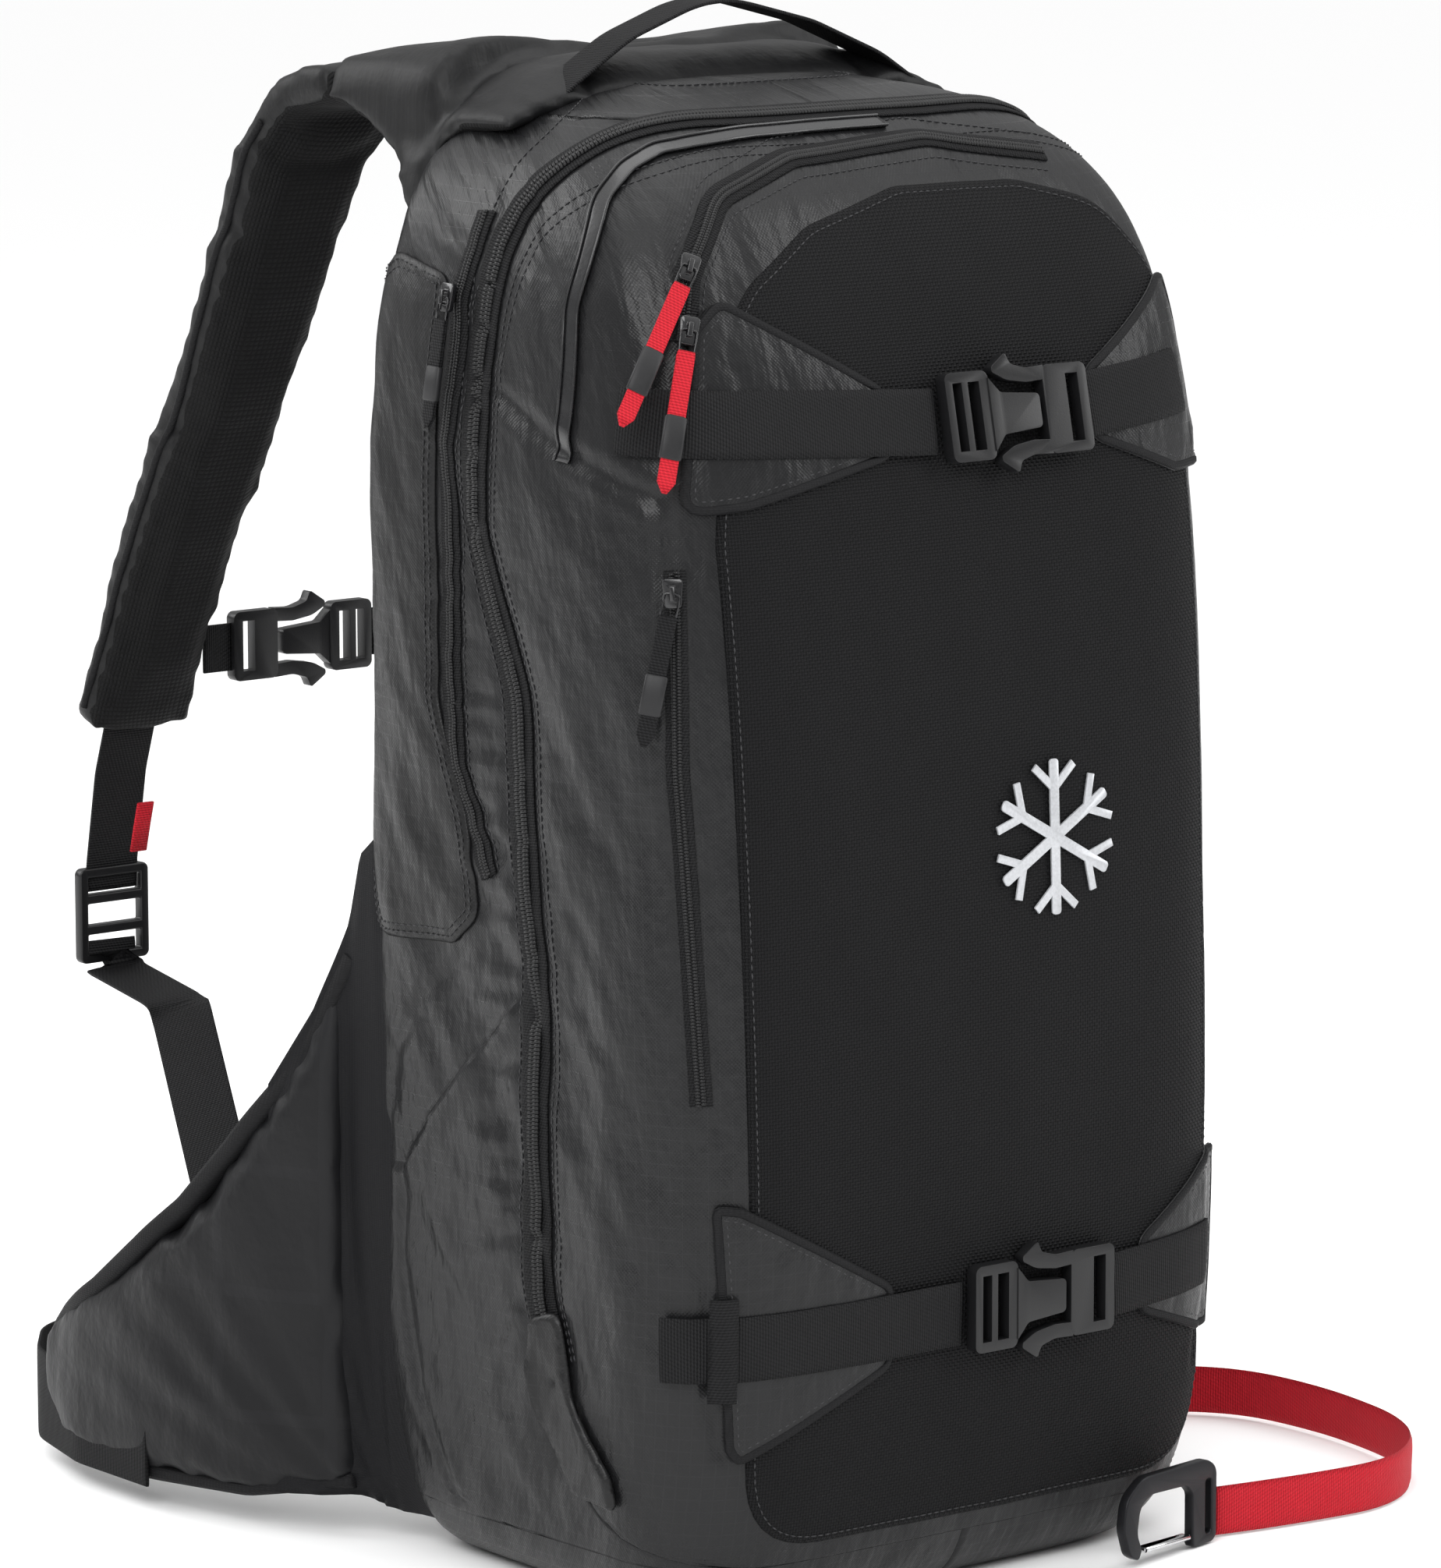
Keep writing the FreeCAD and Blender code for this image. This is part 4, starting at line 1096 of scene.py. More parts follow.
# %% [markdown]
# ## Hardware
# Buckles, sliders and the hook are moulded or die-cast, so their edges are softly rounded. The
# engineering meshes already have the exact shape: each is copied, its edges are rounded, and the
# finish is that of the real part.

# %% Rounded hardware
def dress(node, body, finish, soft=0.45, steps=2):
    """A rounded copy of an engineering part."""
    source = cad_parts[node]
    mesh = source.data.copy()
    mesh.materials.clear()
    mesh.materials.append(finish)
    made = bpy.data.objects.new(node + "_made", mesh)
    scene.collection.objects.link(made)
    weld = bmesh.new()
    weld.from_mesh(mesh)
    bmesh.ops.remove_doubles(weld, verts=weld.verts, dist=0.00002)
    bmesh.ops.dissolve_limit(weld, angle_limit=math.radians(1.5), verts=weld.verts,
                             edges=weld.edges)
    for f in weld.faces:
        f.smooth = True
    weld.to_mesh(mesh)
    weld.free()
    round_edges = made.modifiers.new("round", "BEVEL")
    round_edges.width = soft * MM
    round_edges.segments = steps
    round_edges.limit_method = "ANGLE"
    round_edges.angle_limit = math.radians(35)
    round_edges.harden_normals = True
    round_edges.use_clamp_overlap = True
    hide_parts(node)
    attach(made, body)
    return made


for node, body in (("top_buckle_female", "top_buckle_socket"), ("top_buckle_male", "top_strap_end"),
                   ("low_buckle_female", "low_buckle_socket"), ("low_buckle_male", "low_strap_end"),
                   ("sternum_buckle_male", "sternum_left"),
                   ("sternum_buckle_female", "sternum_right"),
                   ("hip_buckle_male", "wing_left"), ("hip_buckle_female", "wing_right"),
                   ("ladder_lock_left", "lock_left"), ("ladder_lock_right", "lock_right")):
    dress(node, body, BUCKLE, 0.8, 3)
for node, body in (("airbag_zip_slider", "airbag_slider"),
                   ("pocket_upper_slider", "pocket_slider_upper"),
                   ("pocket_lower_slider", "pocket_slider_lower"),
                   ("side_zip_slider", "side_slider"),
                   ("main_zip_slider", "main_slider")):
    dress(node, body, SLIDER, 0.35)
hook = dress("leg_hook", "pack", ALLOY, 0.7, 3)
gate = dress("hook_gate", "gate", WIRE, 0.1)
print("hardware dressed")

# %% [markdown]
# The leg strap is a flat red webbing on its edge. It runs from the right side of the pack round
# to the hook that lies in front.

# %% Leg strap
STRAP_UP = 0.0106
route = [(0.1265, 0.060), (0.212, 0.076), (0.262, 0.044), (0.270, -0.014), (0.256, -0.082),
         (0.214, -0.117), (0.164, -0.114), (0.123, -0.1055)]
curve = bpy.data.curves.new("leg_route", "CURVE")
curve.dimensions = "3D"
spline = curve.splines.new("NURBS")
spline.points.add(len(route) - 1)
for knot, (x, y) in zip(spline.points, route):
    knot.co = (x, y, STRAP_UP, 1)
spline.order_u = 3
spline.use_endpoint_u = True
curve.resolution_u = 24
guide = bpy.data.objects.new("leg_route", curve)
scene.collection.objects.link(guide)
bpy.context.view_layer.update()
drawn = bpy.data.meshes.new_from_object(guide)
leg_line = [v.co.copy() for v in drawn.vertices]
bpy.data.objects.remove(guide)
run = np.concatenate([[0], np.cumsum([(b - a).length for a, b in zip(leg_line, leg_line[1:])])])
points, cloth = [], []
ahead = np.gradient(np.array(leg_line), axis=0)
ahead /= np.linalg.norm(ahead, axis=1, keepdims=True)
lanes = np.linspace(-1, 1, 9)
for p, t, r in zip(leg_line, ahead, run):
    flat_out = np.array([t[1], -t[0], 0])
    for side in (1, -1):
        for lane in (lanes if side > 0 else lanes[::-1]):
            swell = 0.8 * (1 - abs(lane) ** 8)
            wave = 0.5 * noise.noise(Vector((r * 30, lane, 0)))
            at = np.array(p) / MM + flat_out * (side * swell + wave)
            points.append(at + (0, 0, lane * 9.9))
            cloth.append((r / MM, lane * 10))
faces = grid_faces(len(leg_line), 18, True)
faces += [tuple(range(17, -1, -1)), tuple(range(len(points) - 18, len(points)))]
leg_strap = piece("leg_web", points, faces, WEB_RED, "pack", ["leg_strap"], np.array(cloth),
                  slot="red_webbing")

# %% [markdown]
# ## Zip pulls
# Each pull is a wire loop, a doubled piece of narrow webbing and a moulded sleeve. The two on the
# front pocket are red, so they are found quickly; the webbing's ends are cut at a slant.

# %% Pulls
def axes_of(node):
    """Middle, long, wide and thin directions of a flat part, in millimetres."""
    co = np.array([v.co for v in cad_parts[node].data.vertices]) / MM
    middle = (co.max(0) + co.min(0)) / 2
    _, _, turned = np.linalg.svd(co - co.mean(0), full_matrices=False)
    reach = (co - middle) @ turned.T
    middle = middle + ((reach.max(0) + reach.min(0)) / 2) @ turned
    return middle, turned, reach.max(0) - reach.min(0)


def ring_tube(path, radius, sides=6):
    """A closed wire through 3-D points."""
    path = np.array(path, float)
    ahead = np.roll(path, -1, axis=0) - np.roll(path, 1, axis=0)
    ahead /= np.linalg.norm(ahead, axis=1, keepdims=True)
    flat = np.cross(path[1] - path[0], path[3] - path[0])
    flat /= np.linalg.norm(flat)
    points = []
    for p, t in zip(path, ahead):
        side = np.cross(t, flat)
        for k in range(sides):
            turn = 2 * math.pi * k / sides
            points.append(p + side * radius * math.cos(turn) + flat * radius * math.sin(turn))
    faces = grid_faces(len(path), sides, True)
    last = (len(path) - 1) * sides
    for k in range(sides):
        m = (k + 1) % sides
        faces.append((last + k, last + m, m, k))
    return points, faces


def slab(stations, frame_of, sides=12, power=4.0):
    """A closed bar through stations of (distance, half width, half depth, shift)."""
    origin, long, wide, thin = frame_of
    points = []
    for s, half, depth, shift in stations:
        for k in range(sides):
            turn = 2 * math.pi * (k + 0.5) / sides
            c, d = math.cos(turn), math.sin(turn)
            points.append(origin + long * s
                          + wide * half * math.copysign(abs(c) ** (2 / power), c)
                          + thin * (depth * math.copysign(abs(d) ** (2 / power), d) + shift))
    faces = grid_faces(len(stations), sides, True)
    faces.append(tuple(range(sides - 1, -1, -1)))
    last = (len(stations) - 1) * sides
    faces.append(tuple(range(last, last + sides)))
    return points, faces


def joined(parts):
    points, faces = [], []
    for more, some in parts:
        base = len(points)
        points += list(more)
        faces += [tuple(base + k for k in f) for f in some]
    return points, faces


WIRE_LOOP = ((0.3, -2.4), (0.0, 0.0), (0.3, 2.4), (1.0, 3.0), (5.0, 3.05), (8.8, 2.9),
             (9.6, 2.2), (9.8, 0.0), (9.6, -2.2), (8.8, -2.9), (5.0, -3.05), (1.0, -3.0))


def zip_pull(node, body, web, top):
    """A pull in the place of its engineering part; top is a point near its pivot."""
    middle, (long, wide, thin), size = axes_of(node)
    if np.dot(np.array(top) - middle, long) > 0:
        long = -long
    origin = middle - long * size[0] / 2
    length = size[0] - 0.3
    here = (origin, long, wide, thin)
    slant = [(8.6, 3.2, 0.45), (10.5, 3.5, 0.5), (length - 4, 3.45, 0.5), (length, 1.0, 0.4)]
    points, faces = joined([slab([(s, w, d, 0.45) for s, w, d in slant], here),
                            slab([(s, w, d, -0.45) for s, w, d in slant], here)])
    heal(piece(node + "_web", points, faces, web, body, [node],
               np.stack([(np.array(points) - origin) @ long,
                         (np.array(points) - origin) @ wide], 1)))
    start, end = 0.53 * length, 0.80 * length
    sleeve = slab([(start, 3.3, 1.0, 0), (start + 0.7, 4.2, 1.5, 0), (end - 0.7, 4.2, 1.5, 0),
                   (end, 3.3, 1.0, 0)], here, 16)
    heal(piece(node + "_sleeve", *sleeve, SLEEVE, body))
    wire = [origin + long * (a + 0.15) + wide * b for a, b in WIRE_LOOP]
    heal(piece(node + "_wire", *ring_tube(wire, 0.42), SLIDER, body))


zip_pull("pocket_upper_pull", "pocket_pull_upper", WEB_RED, (-111, -72, 511))
zip_pull("pocket_lower_pull", "pocket_pull_lower", WEB_RED, (-117, -77, 494))
zip_pull("side_zip_pull", "side_pull", WEB_BLACK, (-132, -88, 397))
zip_pull("airbag_zip_pull", "airbag_pull", WEB_BLACK, (-144, 37, 498))

# %% [markdown]
# ## Seams and small parts
# A seam shows as a row of stitches beside each edge. Every row is a line beside one already
# drawn. A short keeper holds the free end of the left lower strap.

# %% Seams, keepers and tabs
def beside(line, amount):
    """The line moved sideways over the cloth."""
    ahead = np.gradient(line, axis=0)
    ahead /= np.maximum(np.linalg.norm(ahead, axis=1, keepdims=True), 1e-9)
    return line + np.stack([-ahead[:, 1], ahead[:, 0]], 1) * amount


stitches("main_seam_rear", [beside(main_line, 9.6)], 0.25, "pack")
stitches("main_seam_front", [beside(main_line, -9.6), beside(main_line, -12.6)], 0.25, "front_bag")
stitches("flap_seam", [closed(inset(flap_cut, 2.6)), closed(inset(flap_cut, 5.4))], 2.5, "pack")
stitches("front_seam", [closed(inset(front_cut, 3.2))], 1.5, "front_bag")
pocket_line = on_surface(POCKET_ZIP)
stitches("pocket_seam", [beside(pocket_line, 6.8), beside(pocket_line, -6.8)], 0.25, "front_bag")
airbag_line = on_surface(AIRBAG_ZIP)
stitches("airbag_seam", [beside(airbag_line, 6.8)], 0.25, "pack")
stitches("crease_seam", [beside(CREASE, 2.0)], 0.25, "front_bag")
keeper = np.stack([np.full(20, around(112, x=-118.5)), np.linspace(92, 132, 20)], 1)
band("strap_keeper", keeper, -5.0, 5.0, 6.0, WEB_BLACK, "front_bag", 1.0, 0.4, 5,
     slot="black_webbing")
print("seams and keepers made")

# %% [markdown]
# ## Padded harness
# The shoulder straps, hip wings, yoke and back pad are foam in a cloth cover. A cover over foam
# swells between its seams. The engineering solid is remeshed and blown up a little with cloth
# pressure, then its movement is capped so it stays on the frame.

# %% Covers over foam
def cover(node, name, voxel=0.0055, relax=3, above=None, grow=0.6):
    """A remeshed, slightly rounded copy of an engineering solid, or of the part above a height."""
    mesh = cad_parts[node].data.copy()
    if above is not None:
        cut = bmesh.new()
        cut.from_mesh(mesh)
        bmesh.ops.remove_doubles(cut, verts=cut.verts, dist=0.00002)
        everything = list(cut.verts) + list(cut.edges) + list(cut.faces)
        done = bmesh.ops.bisect_plane(cut, geom=everything, plane_co=(0, 0, above * MM),
                                      plane_no=(0, 0, -1), clear_outer=True)
        rim = [e for e in done["geom_cut"] if isinstance(e, bmesh.types.BMEdge)]
        bmesh.ops.edgeloop_fill(cut, edges=rim)
        cut.to_mesh(mesh)
        cut.free()
    made = bpy.data.objects.new(name, mesh)
    scene.collection.objects.link(made)
    remesh = made.modifiers.new("remesh", "REMESH")
    remesh.mode = "VOXEL"
    remesh.voxel_size = voxel
    calm = made.modifiers.new("calm", "SMOOTH")
    calm.iterations = relax
    calm.factor = 0.5
    bpy.context.view_layer.update()
    shown = made.evaluated_get(bpy.context.evaluated_depsgraph_get())
    fresh = bpy.data.meshes.new_from_object(shown)
    made.modifiers.clear()
    made.data = fresh
    co = np.array([v.co for v in fresh.vertices]) + grow * MM * np.array(
        [v.normal for v in fresh.vertices])
    fresh.vertices.foreach_set("co", co.astype(np.float32).ravel())
    fresh.update()
    return made


def swell(covers, frames=16, pressure=4.0, cap=0.006):
    """Blow the covers up with cloth pressure, then cap how far each point went."""
    rest = {made: np.array([v.co for v in made.data.vertices]) for made in covers}
    for made in covers:
        sim = made.modifiers.new("cloth", "CLOTH")
        sim.settings.quality = 5
        sim.settings.mass = 0.2
        sim.settings.tension_stiffness = 18
        sim.settings.compression_stiffness = 18
        sim.settings.shear_stiffness = 9
        sim.settings.bending_stiffness = 1.5
        sim.settings.use_pressure = True
        sim.settings.uniform_pressure_force = pressure
        sim.settings.effector_weights.gravity = 0
        sim.collision_settings.use_collision = False
        sim.point_cache.frame_end = frames
    for step in range(1, frames + 1):
        scene.frame_set(step)
    graph = bpy.context.evaluated_depsgraph_get()
    for made in covers:
        shown = made.evaluated_get(graph).data
        after = np.array([v.co for v in shown.vertices])
        move = after - rest[made]
        far = np.linalg.norm(move, axis=1, keepdims=True)
        move *= np.minimum(1, cap / np.maximum(far, 1e-9))
        made.modifiers.clear()
        made.data.vertices.foreach_set("co", (rest[made] + move).astype(np.float32).ravel())
        made.data.update()
    scene.frame_set(1)


pads = {"strap_cover_left": cover("shoulder_strap_left", "strap_cover_left", 0.005, above=289.5),
        "wing_cover_left": cover("hip_wing_left", "wing_cover_left", 0.0045),
        "yoke_cover": cover("yoke", "yoke_cover", 0.0045),
        "back_cover": cover("back_pad", "back_cover", 0.0042, 2)}
swell(list(pads.values()))
print("covers", {name: len(made.data.vertices) for name, made in pads.items()})


# %% Shaping and colouring a cover
def finish_cover(made, body, nodes, finish_of, cloth_of, shape=None):
    mesh = made.data
    normals = np.array([v.normal for v in mesh.vertices])
    co = np.array([v.co for v in mesh.vertices]) / MM
    if shape is not None:
        co = co + normals * shape(co, normals)[:, None]
        mesh.vertices.foreach_set("co", (co * MM).astype(np.float32).ravel())
        mesh.update()
    finish, mask_of = finish_of
    where = np.zeros((len(co), 3), np.float32)
    where[:, :2] = cloth_of(co) * MM
    where[:, 2] = mask_of(co, normals)
    data = mesh.attributes.new("cloth", "FLOAT_VECTOR", "POINT")
    data.data.foreach_set("vector", where.ravel())
    mesh.materials.clear()
    mesh.materials.append(finish)
    mesh.shade_smooth()
    sub = made.modifiers.new("round", "SUBSURF")
    sub.levels = 1
    sub.render_levels = 1
    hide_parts(*nodes)
    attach(made, body)
    return made


def mirrored_copy(made, name):
    """The same piece for the other side of the pack."""
    twin = made.copy()
    twin.data = made.data.copy()
    twin.name = name
    twin.data.transform(Matrix.Scale(-1, 4, (1, 0, 0)))
    twin.data.flip_normals()
    scene.collection.objects.link(twin)
    return twin


PAD_SIDE = rounded([(165.4, 569.5), (196, 566), (218, 540), (235, 490), (258, 437), (295, 362),
                    (321, 297)], 3.0, 34)
PAD_EDGE_Z = np.array([288, 300, 400, 490, 560, 590.0])
PAD_INNER_X = np.array([-76, -74, -64, -57, -46, -44.0])
PAD_OUTER_X = np.array([-122, -125, -121, -117, -108, -104.0])


def along_pad(co):
    """Distance down the strap, offset from its middle sheet, and share across its width."""
    far = np.full(len(co), 1e9)
    down = np.zeros(len(co))
    off = np.zeros(len(co))
    run = 0.0
    for (y0, z0), (y1, z1) in zip(PAD_SIDE[:-1], PAD_SIDE[1:]):
        length = math.hypot(y1 - y0, z1 - z0)
        t = np.clip(((co[:, 1] - y0) * (y1 - y0) + (co[:, 2] - z0) * (z1 - z0)) / length ** 2, 0, 1)
        dy, dz = co[:, 1] - y0 - t * (y1 - y0), co[:, 2] - z0 - t * (z1 - z0)
        gap = np.hypot(dy, dz)
        near = gap < far
        down = np.where(near, run + t * length, down)
        off = np.where(near, np.sign(dy * (z0 - z1) + dz * (y1 - y0)) * gap, off)
        far = np.minimum(far, gap)
        run += length
    inner = np.interp(co[:, 2], PAD_EDGE_Z, PAD_INNER_X)
    outer = np.interp(co[:, 2], PAD_EDGE_Z, PAD_OUTER_X)
    return down, off, (co[:, 0] - inner) / (outer - inner)


def strap_shape(co, normals):
    """Seam hollows across the strap, drag lines, and a quilted channel beside each edge."""
    down, off, share = along_pad(co)
    face = np.abs(normals[:, 0]) < 0.6
    groove = np.exp(-((share - 0.14) / 0.035) ** 2) + np.exp(-((share - 0.86) / 0.035) ** 2)
    wrinkle = grain(down / 16, share * 1.5, 1, 5.0)
    coarse = grain(down / 45, share * 2.0, 1, 9.0)
    return np.where(face, -1.3 * groove, 0) + 0.7 * wrinkle + 0.9 * coarse


def strap_cloth(co):
    down, off, share = along_pad(co)
    return np.stack([down, share * 50 + off], 1)


def strap_mask(co, normals):
    """1 on the face that touches the wearer, inside its edge binding."""
    share = along_pad(co)[2]
    facing_in = smooth(-0.25, -0.6, normals[:, 1] * 0.92 + normals[:, 2] * 0.38)
    return facing_in * smooth(0.0, 0.08, share) * smooth(1.02, 0.94, share)


def flipped(work):
    """The same rule for the mirrored side."""
    def other(co, normals=None):
        if normals is None:
            return work(co * (-1, 1, 1))
        return work(co * (-1, 1, 1), normals * (-1, 1, 1))
    return other


strap_left = pads["strap_cover_left"]
strap_right = mirrored_copy(strap_left, "strap_cover_right")
finish_cover(strap_left, "pack", ["shoulder_strap_left"], (STRAP_CLOTH, strap_mask), strap_cloth,
             strap_shape)
finish_cover(strap_right, "pack", ["shoulder_strap_right"], (STRAP_CLOTH, flipped(strap_mask)),
             flipped(strap_cloth), flipped(strap_shape))

# %% [markdown]
# Each hip wing is a thin foam sheet in the same cloth, with a bound edge. The cloth of the pack's
# side runs on over the wing and gathers where it is sewn down, so a separate sheet bends between
# the pack and the wing.

# %% Hip wings
WING_MID = rounded([(-138, 106), (-160, 150), (-172, 200), (-172, 245), (-160, 284)], 3.0, 60)


def wing_cloth(co):
    return np.stack([co[:, 1] + 0.25 * np.abs(co[:, 0]), co[:, 2]], 1)


def wing_shape(co, normals):
    """Drag lines that run from the pack's corner towards the belt."""
    fan = np.arctan2(co[:, 2] - 8, co[:, 1] - 92)
    far = np.hypot(co[:, 2] - 8, co[:, 1] - 92)
    fold = grain(fan * 9, far / 120, 1, 2.0)
    soft = grain(co[:, 1], co[:, 2], 34, 6.0)
    return (1.9 * fold * smooth(150, 60, far) + 1.1 * soft + 0.5 * fold) * (normals[:, 0] < 0.3)


wing_left = pads["wing_cover_left"]
wing_right = mirrored_copy(wing_left, "wing_cover_right")


def wing_mask(co, normals):
    return smooth(0.3, 0.6, normals[:, 0])


finish_cover(wing_left, "wing_left", ["hip_wing_left"], (WING_CLOTH, wing_mask), wing_cloth,
             wing_shape)
finish_cover(wing_right, "wing_right", ["hip_wing_right"], (WING_CLOTH, flipped(wing_mask)),
             flipped(wing_cloth), flipped(wing_shape))

WING_TOP = np.array([(105, 236), (118, 208), (135, 180), (155, 155), (180, 128), (205, 108),
                     (235, 86), (262, 70), (280, 57), (286, 38)], float)


def wing_out(y):
    """Outer face of the left wing, as x at a given y."""
    ahead = np.gradient(WING_MID, axis=0)
    ahead /= np.linalg.norm(ahead, axis=1, keepdims=True)
    outer = WING_MID + np.stack([-ahead[:, 1], ahead[:, 0]], 1) * 5.0
    return np.interp(y, outer[:, 1], outer[:, 0])


def hip_sheet(name, side):
    """Cloth from the pack's side over the root of the wing."""
    ys = np.linspace(78, 136, 36)
    tops = np.interp(ys, [78, 97, 104, 118, 136], [292, 276, 248, 212, 181])
    lows = np.interp(ys, [78, 92, 105, 136], [11, 12, 18, 16])
    rows = 70
    points, cloth = [], []
    for t in np.linspace(0, 1, rows):
        z = lows + (tops - lows) * t
        half, _, rear, _ = level(z)
        along_bag = np.array([on_bag(a, b, 0.0)[0, 0] for a, b in
                              zip(round_at(z, y=np.minimum(ys, rear - 8)), z)])
        w = smooth(84, 119, ys)
        rise = 2.6 * smooth(77, 90, ys) - 1.6
        x = (1 - w) * (np.minimum(along_bag, -(half - 2.0)) - rise) + w * (wing_out(ys) - 1.6)
        fan = np.arctan2(z - 8, ys - 92)
        far = np.hypot(z - 8, ys - 92)
        fold = grain(fan * 9, far / 120, 1, 2.0)
        x = x - 2.2 * (fold + 0.25) * smooth(80, 96, ys) * smooth(136, 122, ys) * smooth(1, 0.9, t)
        points += list(np.stack([x * (1 if side < 0 else -1), ys, z], 1))
        cloth += list(np.stack([ys, z], 1))
    faces = grid_faces(rows, len(ys))
    if side < 0:
        faces = [f[::-1] for f in faces]
    made = piece(name, points, faces, STRETCH, None, cloth=cloth, thick=1.2, slot="shell_fabric")
    solid_mesh = bpy.data.meshes.new_from_object(
        made.evaluated_get(bpy.context.evaluated_depsgraph_get()))
    made.modifiers.clear()
    made.data = solid_mesh
    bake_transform(made)
    return made


hip_sheet("hip_root_left", -1)
hip_sheet("hip_root_right", 1)


def tube_strip(name, path, half_wide, half_deep, out, finish, body, sides=10, slot=None, power=2.6):
    """A rounded strip along 3-D points; out is the way its flat face looks."""
    path = np.array(path, float)
    ahead = np.gradient(path, axis=0)
    ahead /= np.linalg.norm(ahead, axis=1, keepdims=True)
    out = np.broadcast_to(np.array(out, float), path.shape)
    points, cloth = [], []
    run = np.concatenate([[0], np.cumsum(np.linalg.norm(np.diff(path, axis=0), axis=1))])
    for i, (p, t, o) in enumerate(zip(path, ahead, out)):
        o = o - t * np.dot(o, t)
        o = o / np.linalg.norm(o)
        across = np.cross(o, t)
        for k in range(sides):
            turn = 2 * math.pi * (k + 0.5) / sides
            c, d = math.cos(turn), math.sin(turn)
            a = half_wide * math.copysign(abs(c) ** (2 / power), c)
            points.append(p + across * a + o * half_deep * math.copysign(abs(d) ** (2 / power), d))
            cloth.append((run[i], a))
    faces = grid_faces(len(path), sides, True)
    faces.append(tuple(range(sides - 1, -1, -1)))
    last = (len(path) - 1) * sides
    faces.append(tuple(range(last, last + sides)))
    return heal(piece(name, points, faces, finish, body, (), np.array(cloth), slot=slot))


def mirror_line(line):
    return np.array(line) * (-1, 1, 1)


wing_edge = rounded(WING_TOP, 3.0, 20)
edge_line = np.stack([np.interp(wing_edge[:, 0], *np.array(
    [(y, wing_out(y) + 4.2) for y in np.arange(100, 292, 4.0)]).T), wing_edge[:, 0],
    wing_edge[:, 1]], 1)
wing_under = rounded([(286, 40), (266, 17.5), (225, 13.5), (150, 15.5), (107, 24)], 3.0, 20)
wing_at = np.array([(y, wing_out(y) + 4.2) for y in np.arange(100, 292, 4.0)])
under_line = np.stack([np.interp(wing_under[:, 0], *wing_at.T), wing_under[:, 0],
                       wing_under[:, 1]], 1)
for side, body in ((-1, "wing_left"), (1, "wing_right")):
    line = edge_line if side < 0 else mirror_line(edge_line)
    tube_strip("wing_binding_" + body[5:], line + (0, 0, -1.9), 5.8, 4.4, (0, 0.5, 0.86), BINDING,
               body, 12, "shell_fabric", 3.0)
    hem = under_line if side < 0 else mirror_line(under_line)
    tube_strip("wing_hem_" + body[5:], hem, 5.4, 3.4, (0, 0, 1), BINDING, body, 12, "shell_fabric",
               3.0)
for side, cover_made in ((-1, strap_left), (1, strap_right)):
    tree = BVHTree.FromObject(cover_made, bpy.context.evaluated_depsgraph_get())
    for edge, outer in (("outer", True), ("inner", False)):
        line = []
        for y, z in PAD_SIDE[::2]:
            if 300 < z < 556:
                at_x = np.interp(z, PAD_EDGE_Z, PAD_OUTER_X if outer else PAD_INNER_X)
                away = (-1 if outer else 1) * -side
                start = Vector((-side * at_x + away * 20, y, z)) * MM
                hit = tree.ray_cast(start, Vector((-away, 0, 0)), 0.04)[0]
                if hit is not None:
                    line.append(np.array(hit) / MM)
        line = even(np.array(line), 4.0)
        line[1:-1] = (line[:-2] + 2 * line[1:-1] + line[2:]) / 4
        tube_strip(f"strap_piping_{edge}_{'left' if side < 0 else 'right'}", line, 1.7, 1.7,
                   (1, 0, 0), BINDING, "pack", 10, "shell_fabric", 2.0)
for side in (-1, 1):
    tab = [(side * 99.5, 309, 264), (side * 99.5, 312, 254), (side * 99.5, 315, 243)]
    tube_strip("strap_tab_" + ("left" if side < 0 else "right"), tab, 4.0, 0.7, (0, 1, 0.2),
               WEB_RED, "pack", 10, power=5.0)
print("hips made")

# %% Webbing of the harness
def webbing_strip(name, path, wide, out, body, thick=0.85, nodes=()):
    made = tube_strip(name, path, wide / 2, thick, out, WEB_BLACK, body, 16, "black_webbing", 7.0)
    if nodes:
        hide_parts(*nodes)
    return made


tail_side = rounded([(309, 318), (317, 306), (328, 275), (335.5, 236), (336.5, 224)], 3.0, 30)
lower_side = rounded([(336, 203), (334, 191.5), (274, 186), (190, 126)], 3.0, 40)
lower_x = np.interp(lower_side[:, 0], [180, 274, 345], [-149, -108, -99])
for side, wing_body, lock in ((-1, "wing_left", "left"), (1, "wing_right", "right")):
    tail = np.stack([np.full(len(tail_side), side * 99.0), tail_side[:, 0], tail_side[:, 1]], 1)
    webbing_strip("strap_tail_" + lock, tail, 25, (0, 1, 0.2), "pack")
    low = np.stack([-side * lower_x, lower_side[:, 0], lower_side[:, 1]], 1)
    made = webbing_strip("lower_web_" + lock, low, 25, (0, 0.5, 0.86), None)
    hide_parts("lower_webbing_" + lock)
    side * 0.112
    side * 0.149
    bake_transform(made)

BELT = rounded([(-179.4, 196), (-179.4, 246), (-168, 292), (-146, 322), (-106, 338), (-38, 340)],
               3.0, 40)
for side, body in ((-1, "wing_left"), (1, "wing_right")):
    line = np.stack([-side * BELT[:, 0], BELT[:, 1], np.full(len(BELT), 28.0)], 1)
    out = np.gradient(line, axis=0)
    out = np.cross(out, (0, 0, 1)) * -side
    webbing_strip("belt_" + body[5:], line, 38, out, body, nodes=["hip_webbing_" + body[5:]])
webbing_strip("sternum_web_left", [(x, 309, 325) for x in np.linspace(-69.6, -56, 8)], 20,
              (0, 1, 0), "sternum_left", nodes=["sternum_webbing_left"])
webbing_strip("sternum_web_right", [(x, 309, 325) for x in np.linspace(16, 69.6, 20)], 20,
              (0, 1, 0), "sternum_right", nodes=["sternum_webbing_right"])
handle_line = rounded([(-92, 562), (-78, 574), (-50, 591), (-8, 606), (40, 594), (74, 580),
                       (112, 556)], 3.0, 60)
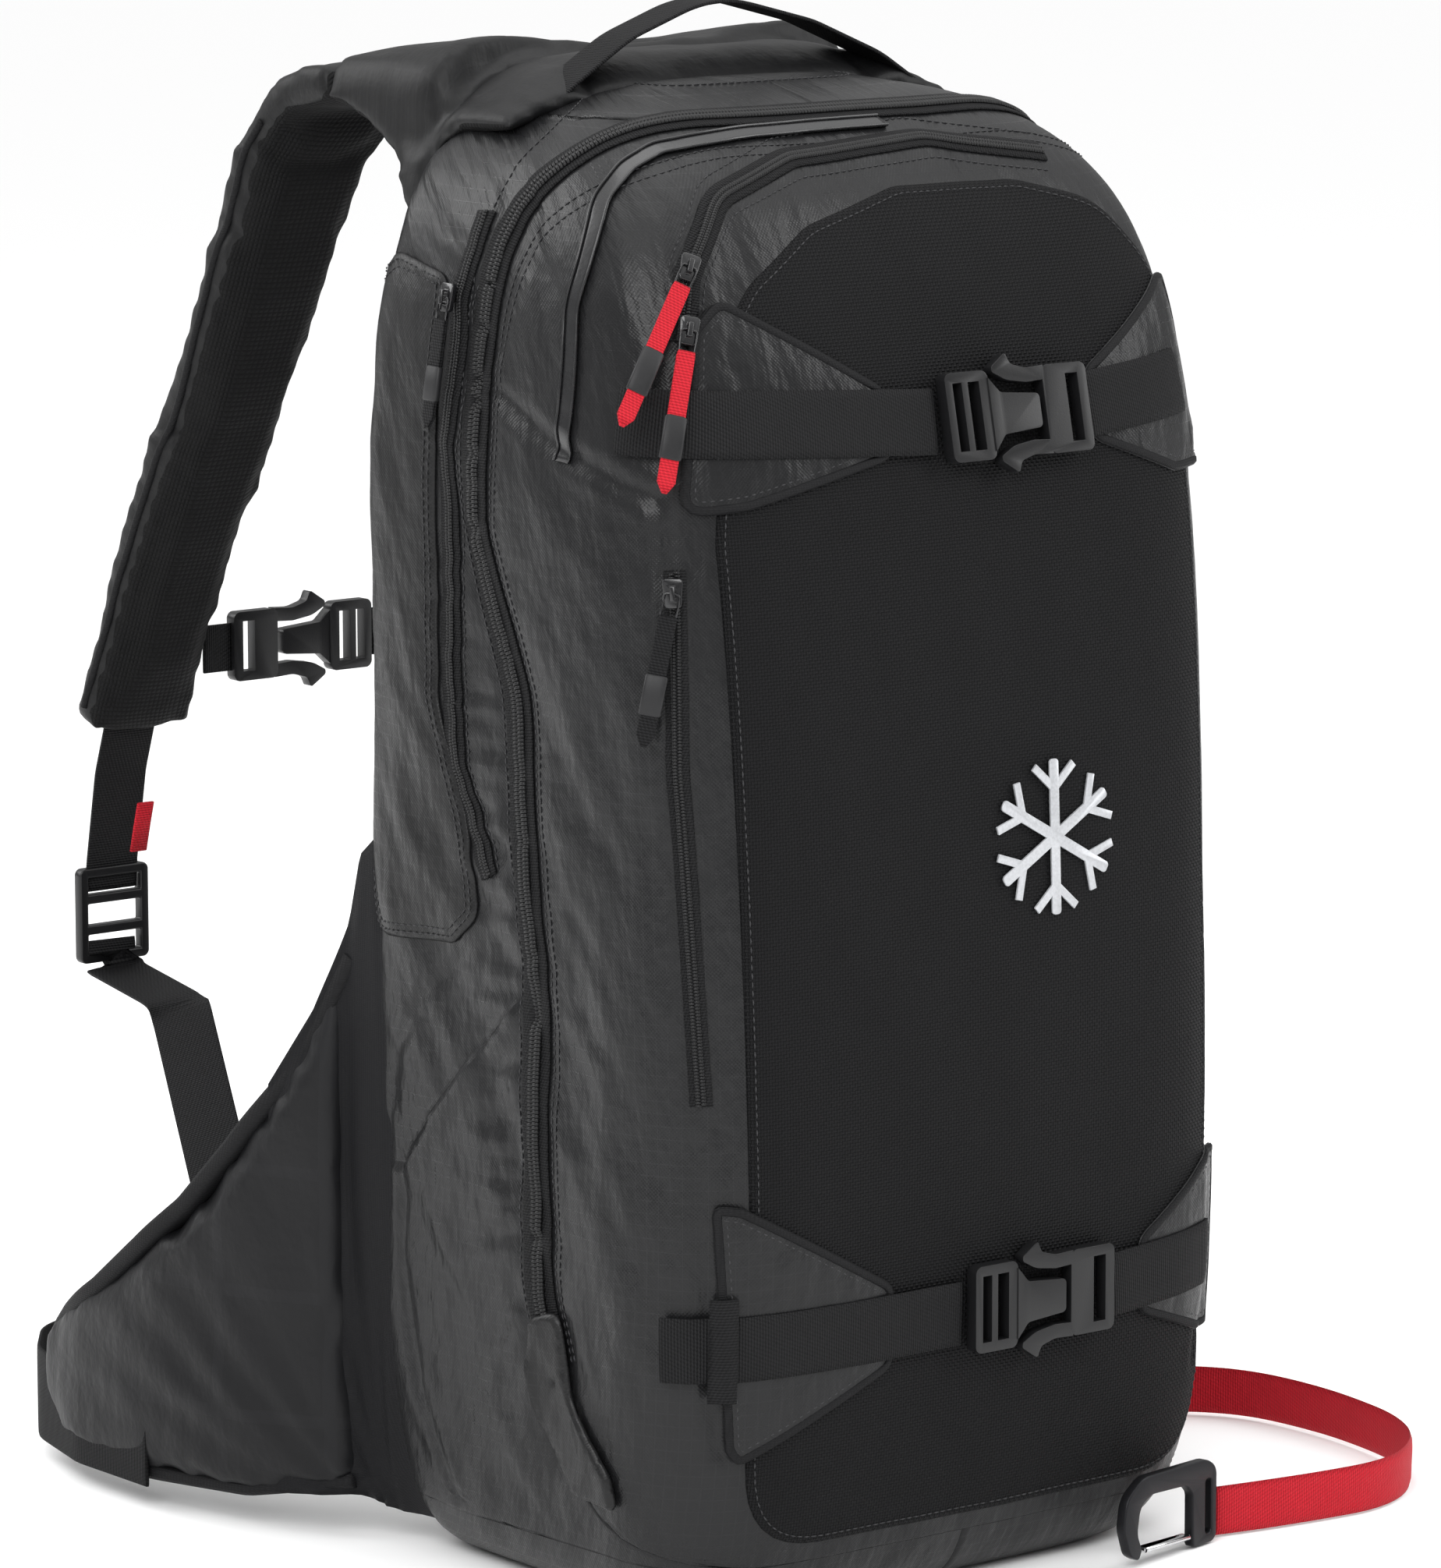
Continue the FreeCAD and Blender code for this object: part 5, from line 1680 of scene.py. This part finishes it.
handle_line = handle_line[(handle_line[:, 0] > -88) & (handle_line[:, 0] < 108)]
webbing_strip("handle_web", np.stack([handle_line[:, 0], np.full(len(handle_line), 52.0),
                                      handle_line[:, 1]], 1), 20, (0, 0, 1), "pack",
              nodes=["grab_handle"])
print("harness webbing made")

# %% [markdown]
# The yoke joins both shoulder straps behind the neck. Its cover is the same ripstop in a wider
# grid, gathered a little along its seams. The back pad is spacer mesh over foam, with a channel
# down its middle for air.

# %% Yoke and back pad
def yoke_shape(co, normals):
    soft = grain(co[:, 0] / 30, co[:, 1] / 22, 1, 1.2)
    fine = grain(co[:, 0] / 11, co[:, 1] / 26, 1, 7.2)
    seam = np.exp(-((np.abs(co[:, 0]) - 100 + 0.06 * (co[:, 1] - 60)) / 3.0) ** 2)
    up = normals[:, 2] > 0.2
    return np.where(up, 1.0 * soft + 0.5 * fine - 0.9 * seam, 0.4 * soft)


yoke = pads["yoke_cover"]
finish_cover(yoke, "pack", ["yoke"], (STRAP_CLOTH, lambda co, n: smooth(-0.3, -0.6, n[:, 2])),
             lambda co: co[:, :2], yoke_shape)


def back_shape(co, normals):
    """Moulded cells: shallow grooves across the pad."""
    rows = np.abs(((co[:, 2] / 46) % 1) - 0.5) * 46
    face = normals[:, 1] > 0.5
    return np.where(face, -2.2 * np.exp(-(rows / 3.0) ** 2), 0)


finish_cover(pads["back_cover"], "pack", ["back_pad"], (PAD_FACE, lambda co, n: 1.0),
             lambda co: np.stack([co[:, 0], co[:, 2]], 1), back_shape)
print("yoke and back pad made")

# %% [markdown]
# The laminated strip is a smooth welt with a bead each side. The emblem is a plain snow crystal
# in silver print. Inside are the divider, the stiff back sheet, the folded airbag and its blower.

# %% Strip, emblem and the inside
strip_side = side_line([(-33, 442), (-32, 500), (-29, 538)])
strip_front = np.array([(round_at([z], y=y)[0], z) for y, z in ((-27.5, 549), (-26.5, 555))])
strip_top = front_line([(-78, 556.5), (-50, 558.5), (-20, 559.3), (18, 559.5)])
strip_line = on_surface(np.vstack([strip_side, strip_front, strip_top]), 30)
band("laminated_strip", strip_line, -3.5, 3.5, 1.3, TAPE, "front_bag", 1.0, 0.3, 9,
     ["coated_strip"], slot="coated_tape")
band("strip_bead_a", strip_line, 2.9, 4.1, 1.75, TAPE, "front_bag", 1.0, 0.5, 5, crown=0.35)
band("strip_bead_b", strip_line, -4.1, -2.9, 1.75, TAPE, "front_bag", 1.0, 0.5, 5, crown=0.35)
dress("emblem", "front_bag", SILVER, 0.12, 1)
for node, finish in (("divider_panel", STRETCH), ("frame_sheet", BOARD),
                     ("airbag_bladder", BLADDER), ("blower_housing", HOUSING)):
    dress(node, "pack", finish, 0.5)
dress("blower_impeller", "impeller", IMPELLER, 0.2)
print("inside dressed")
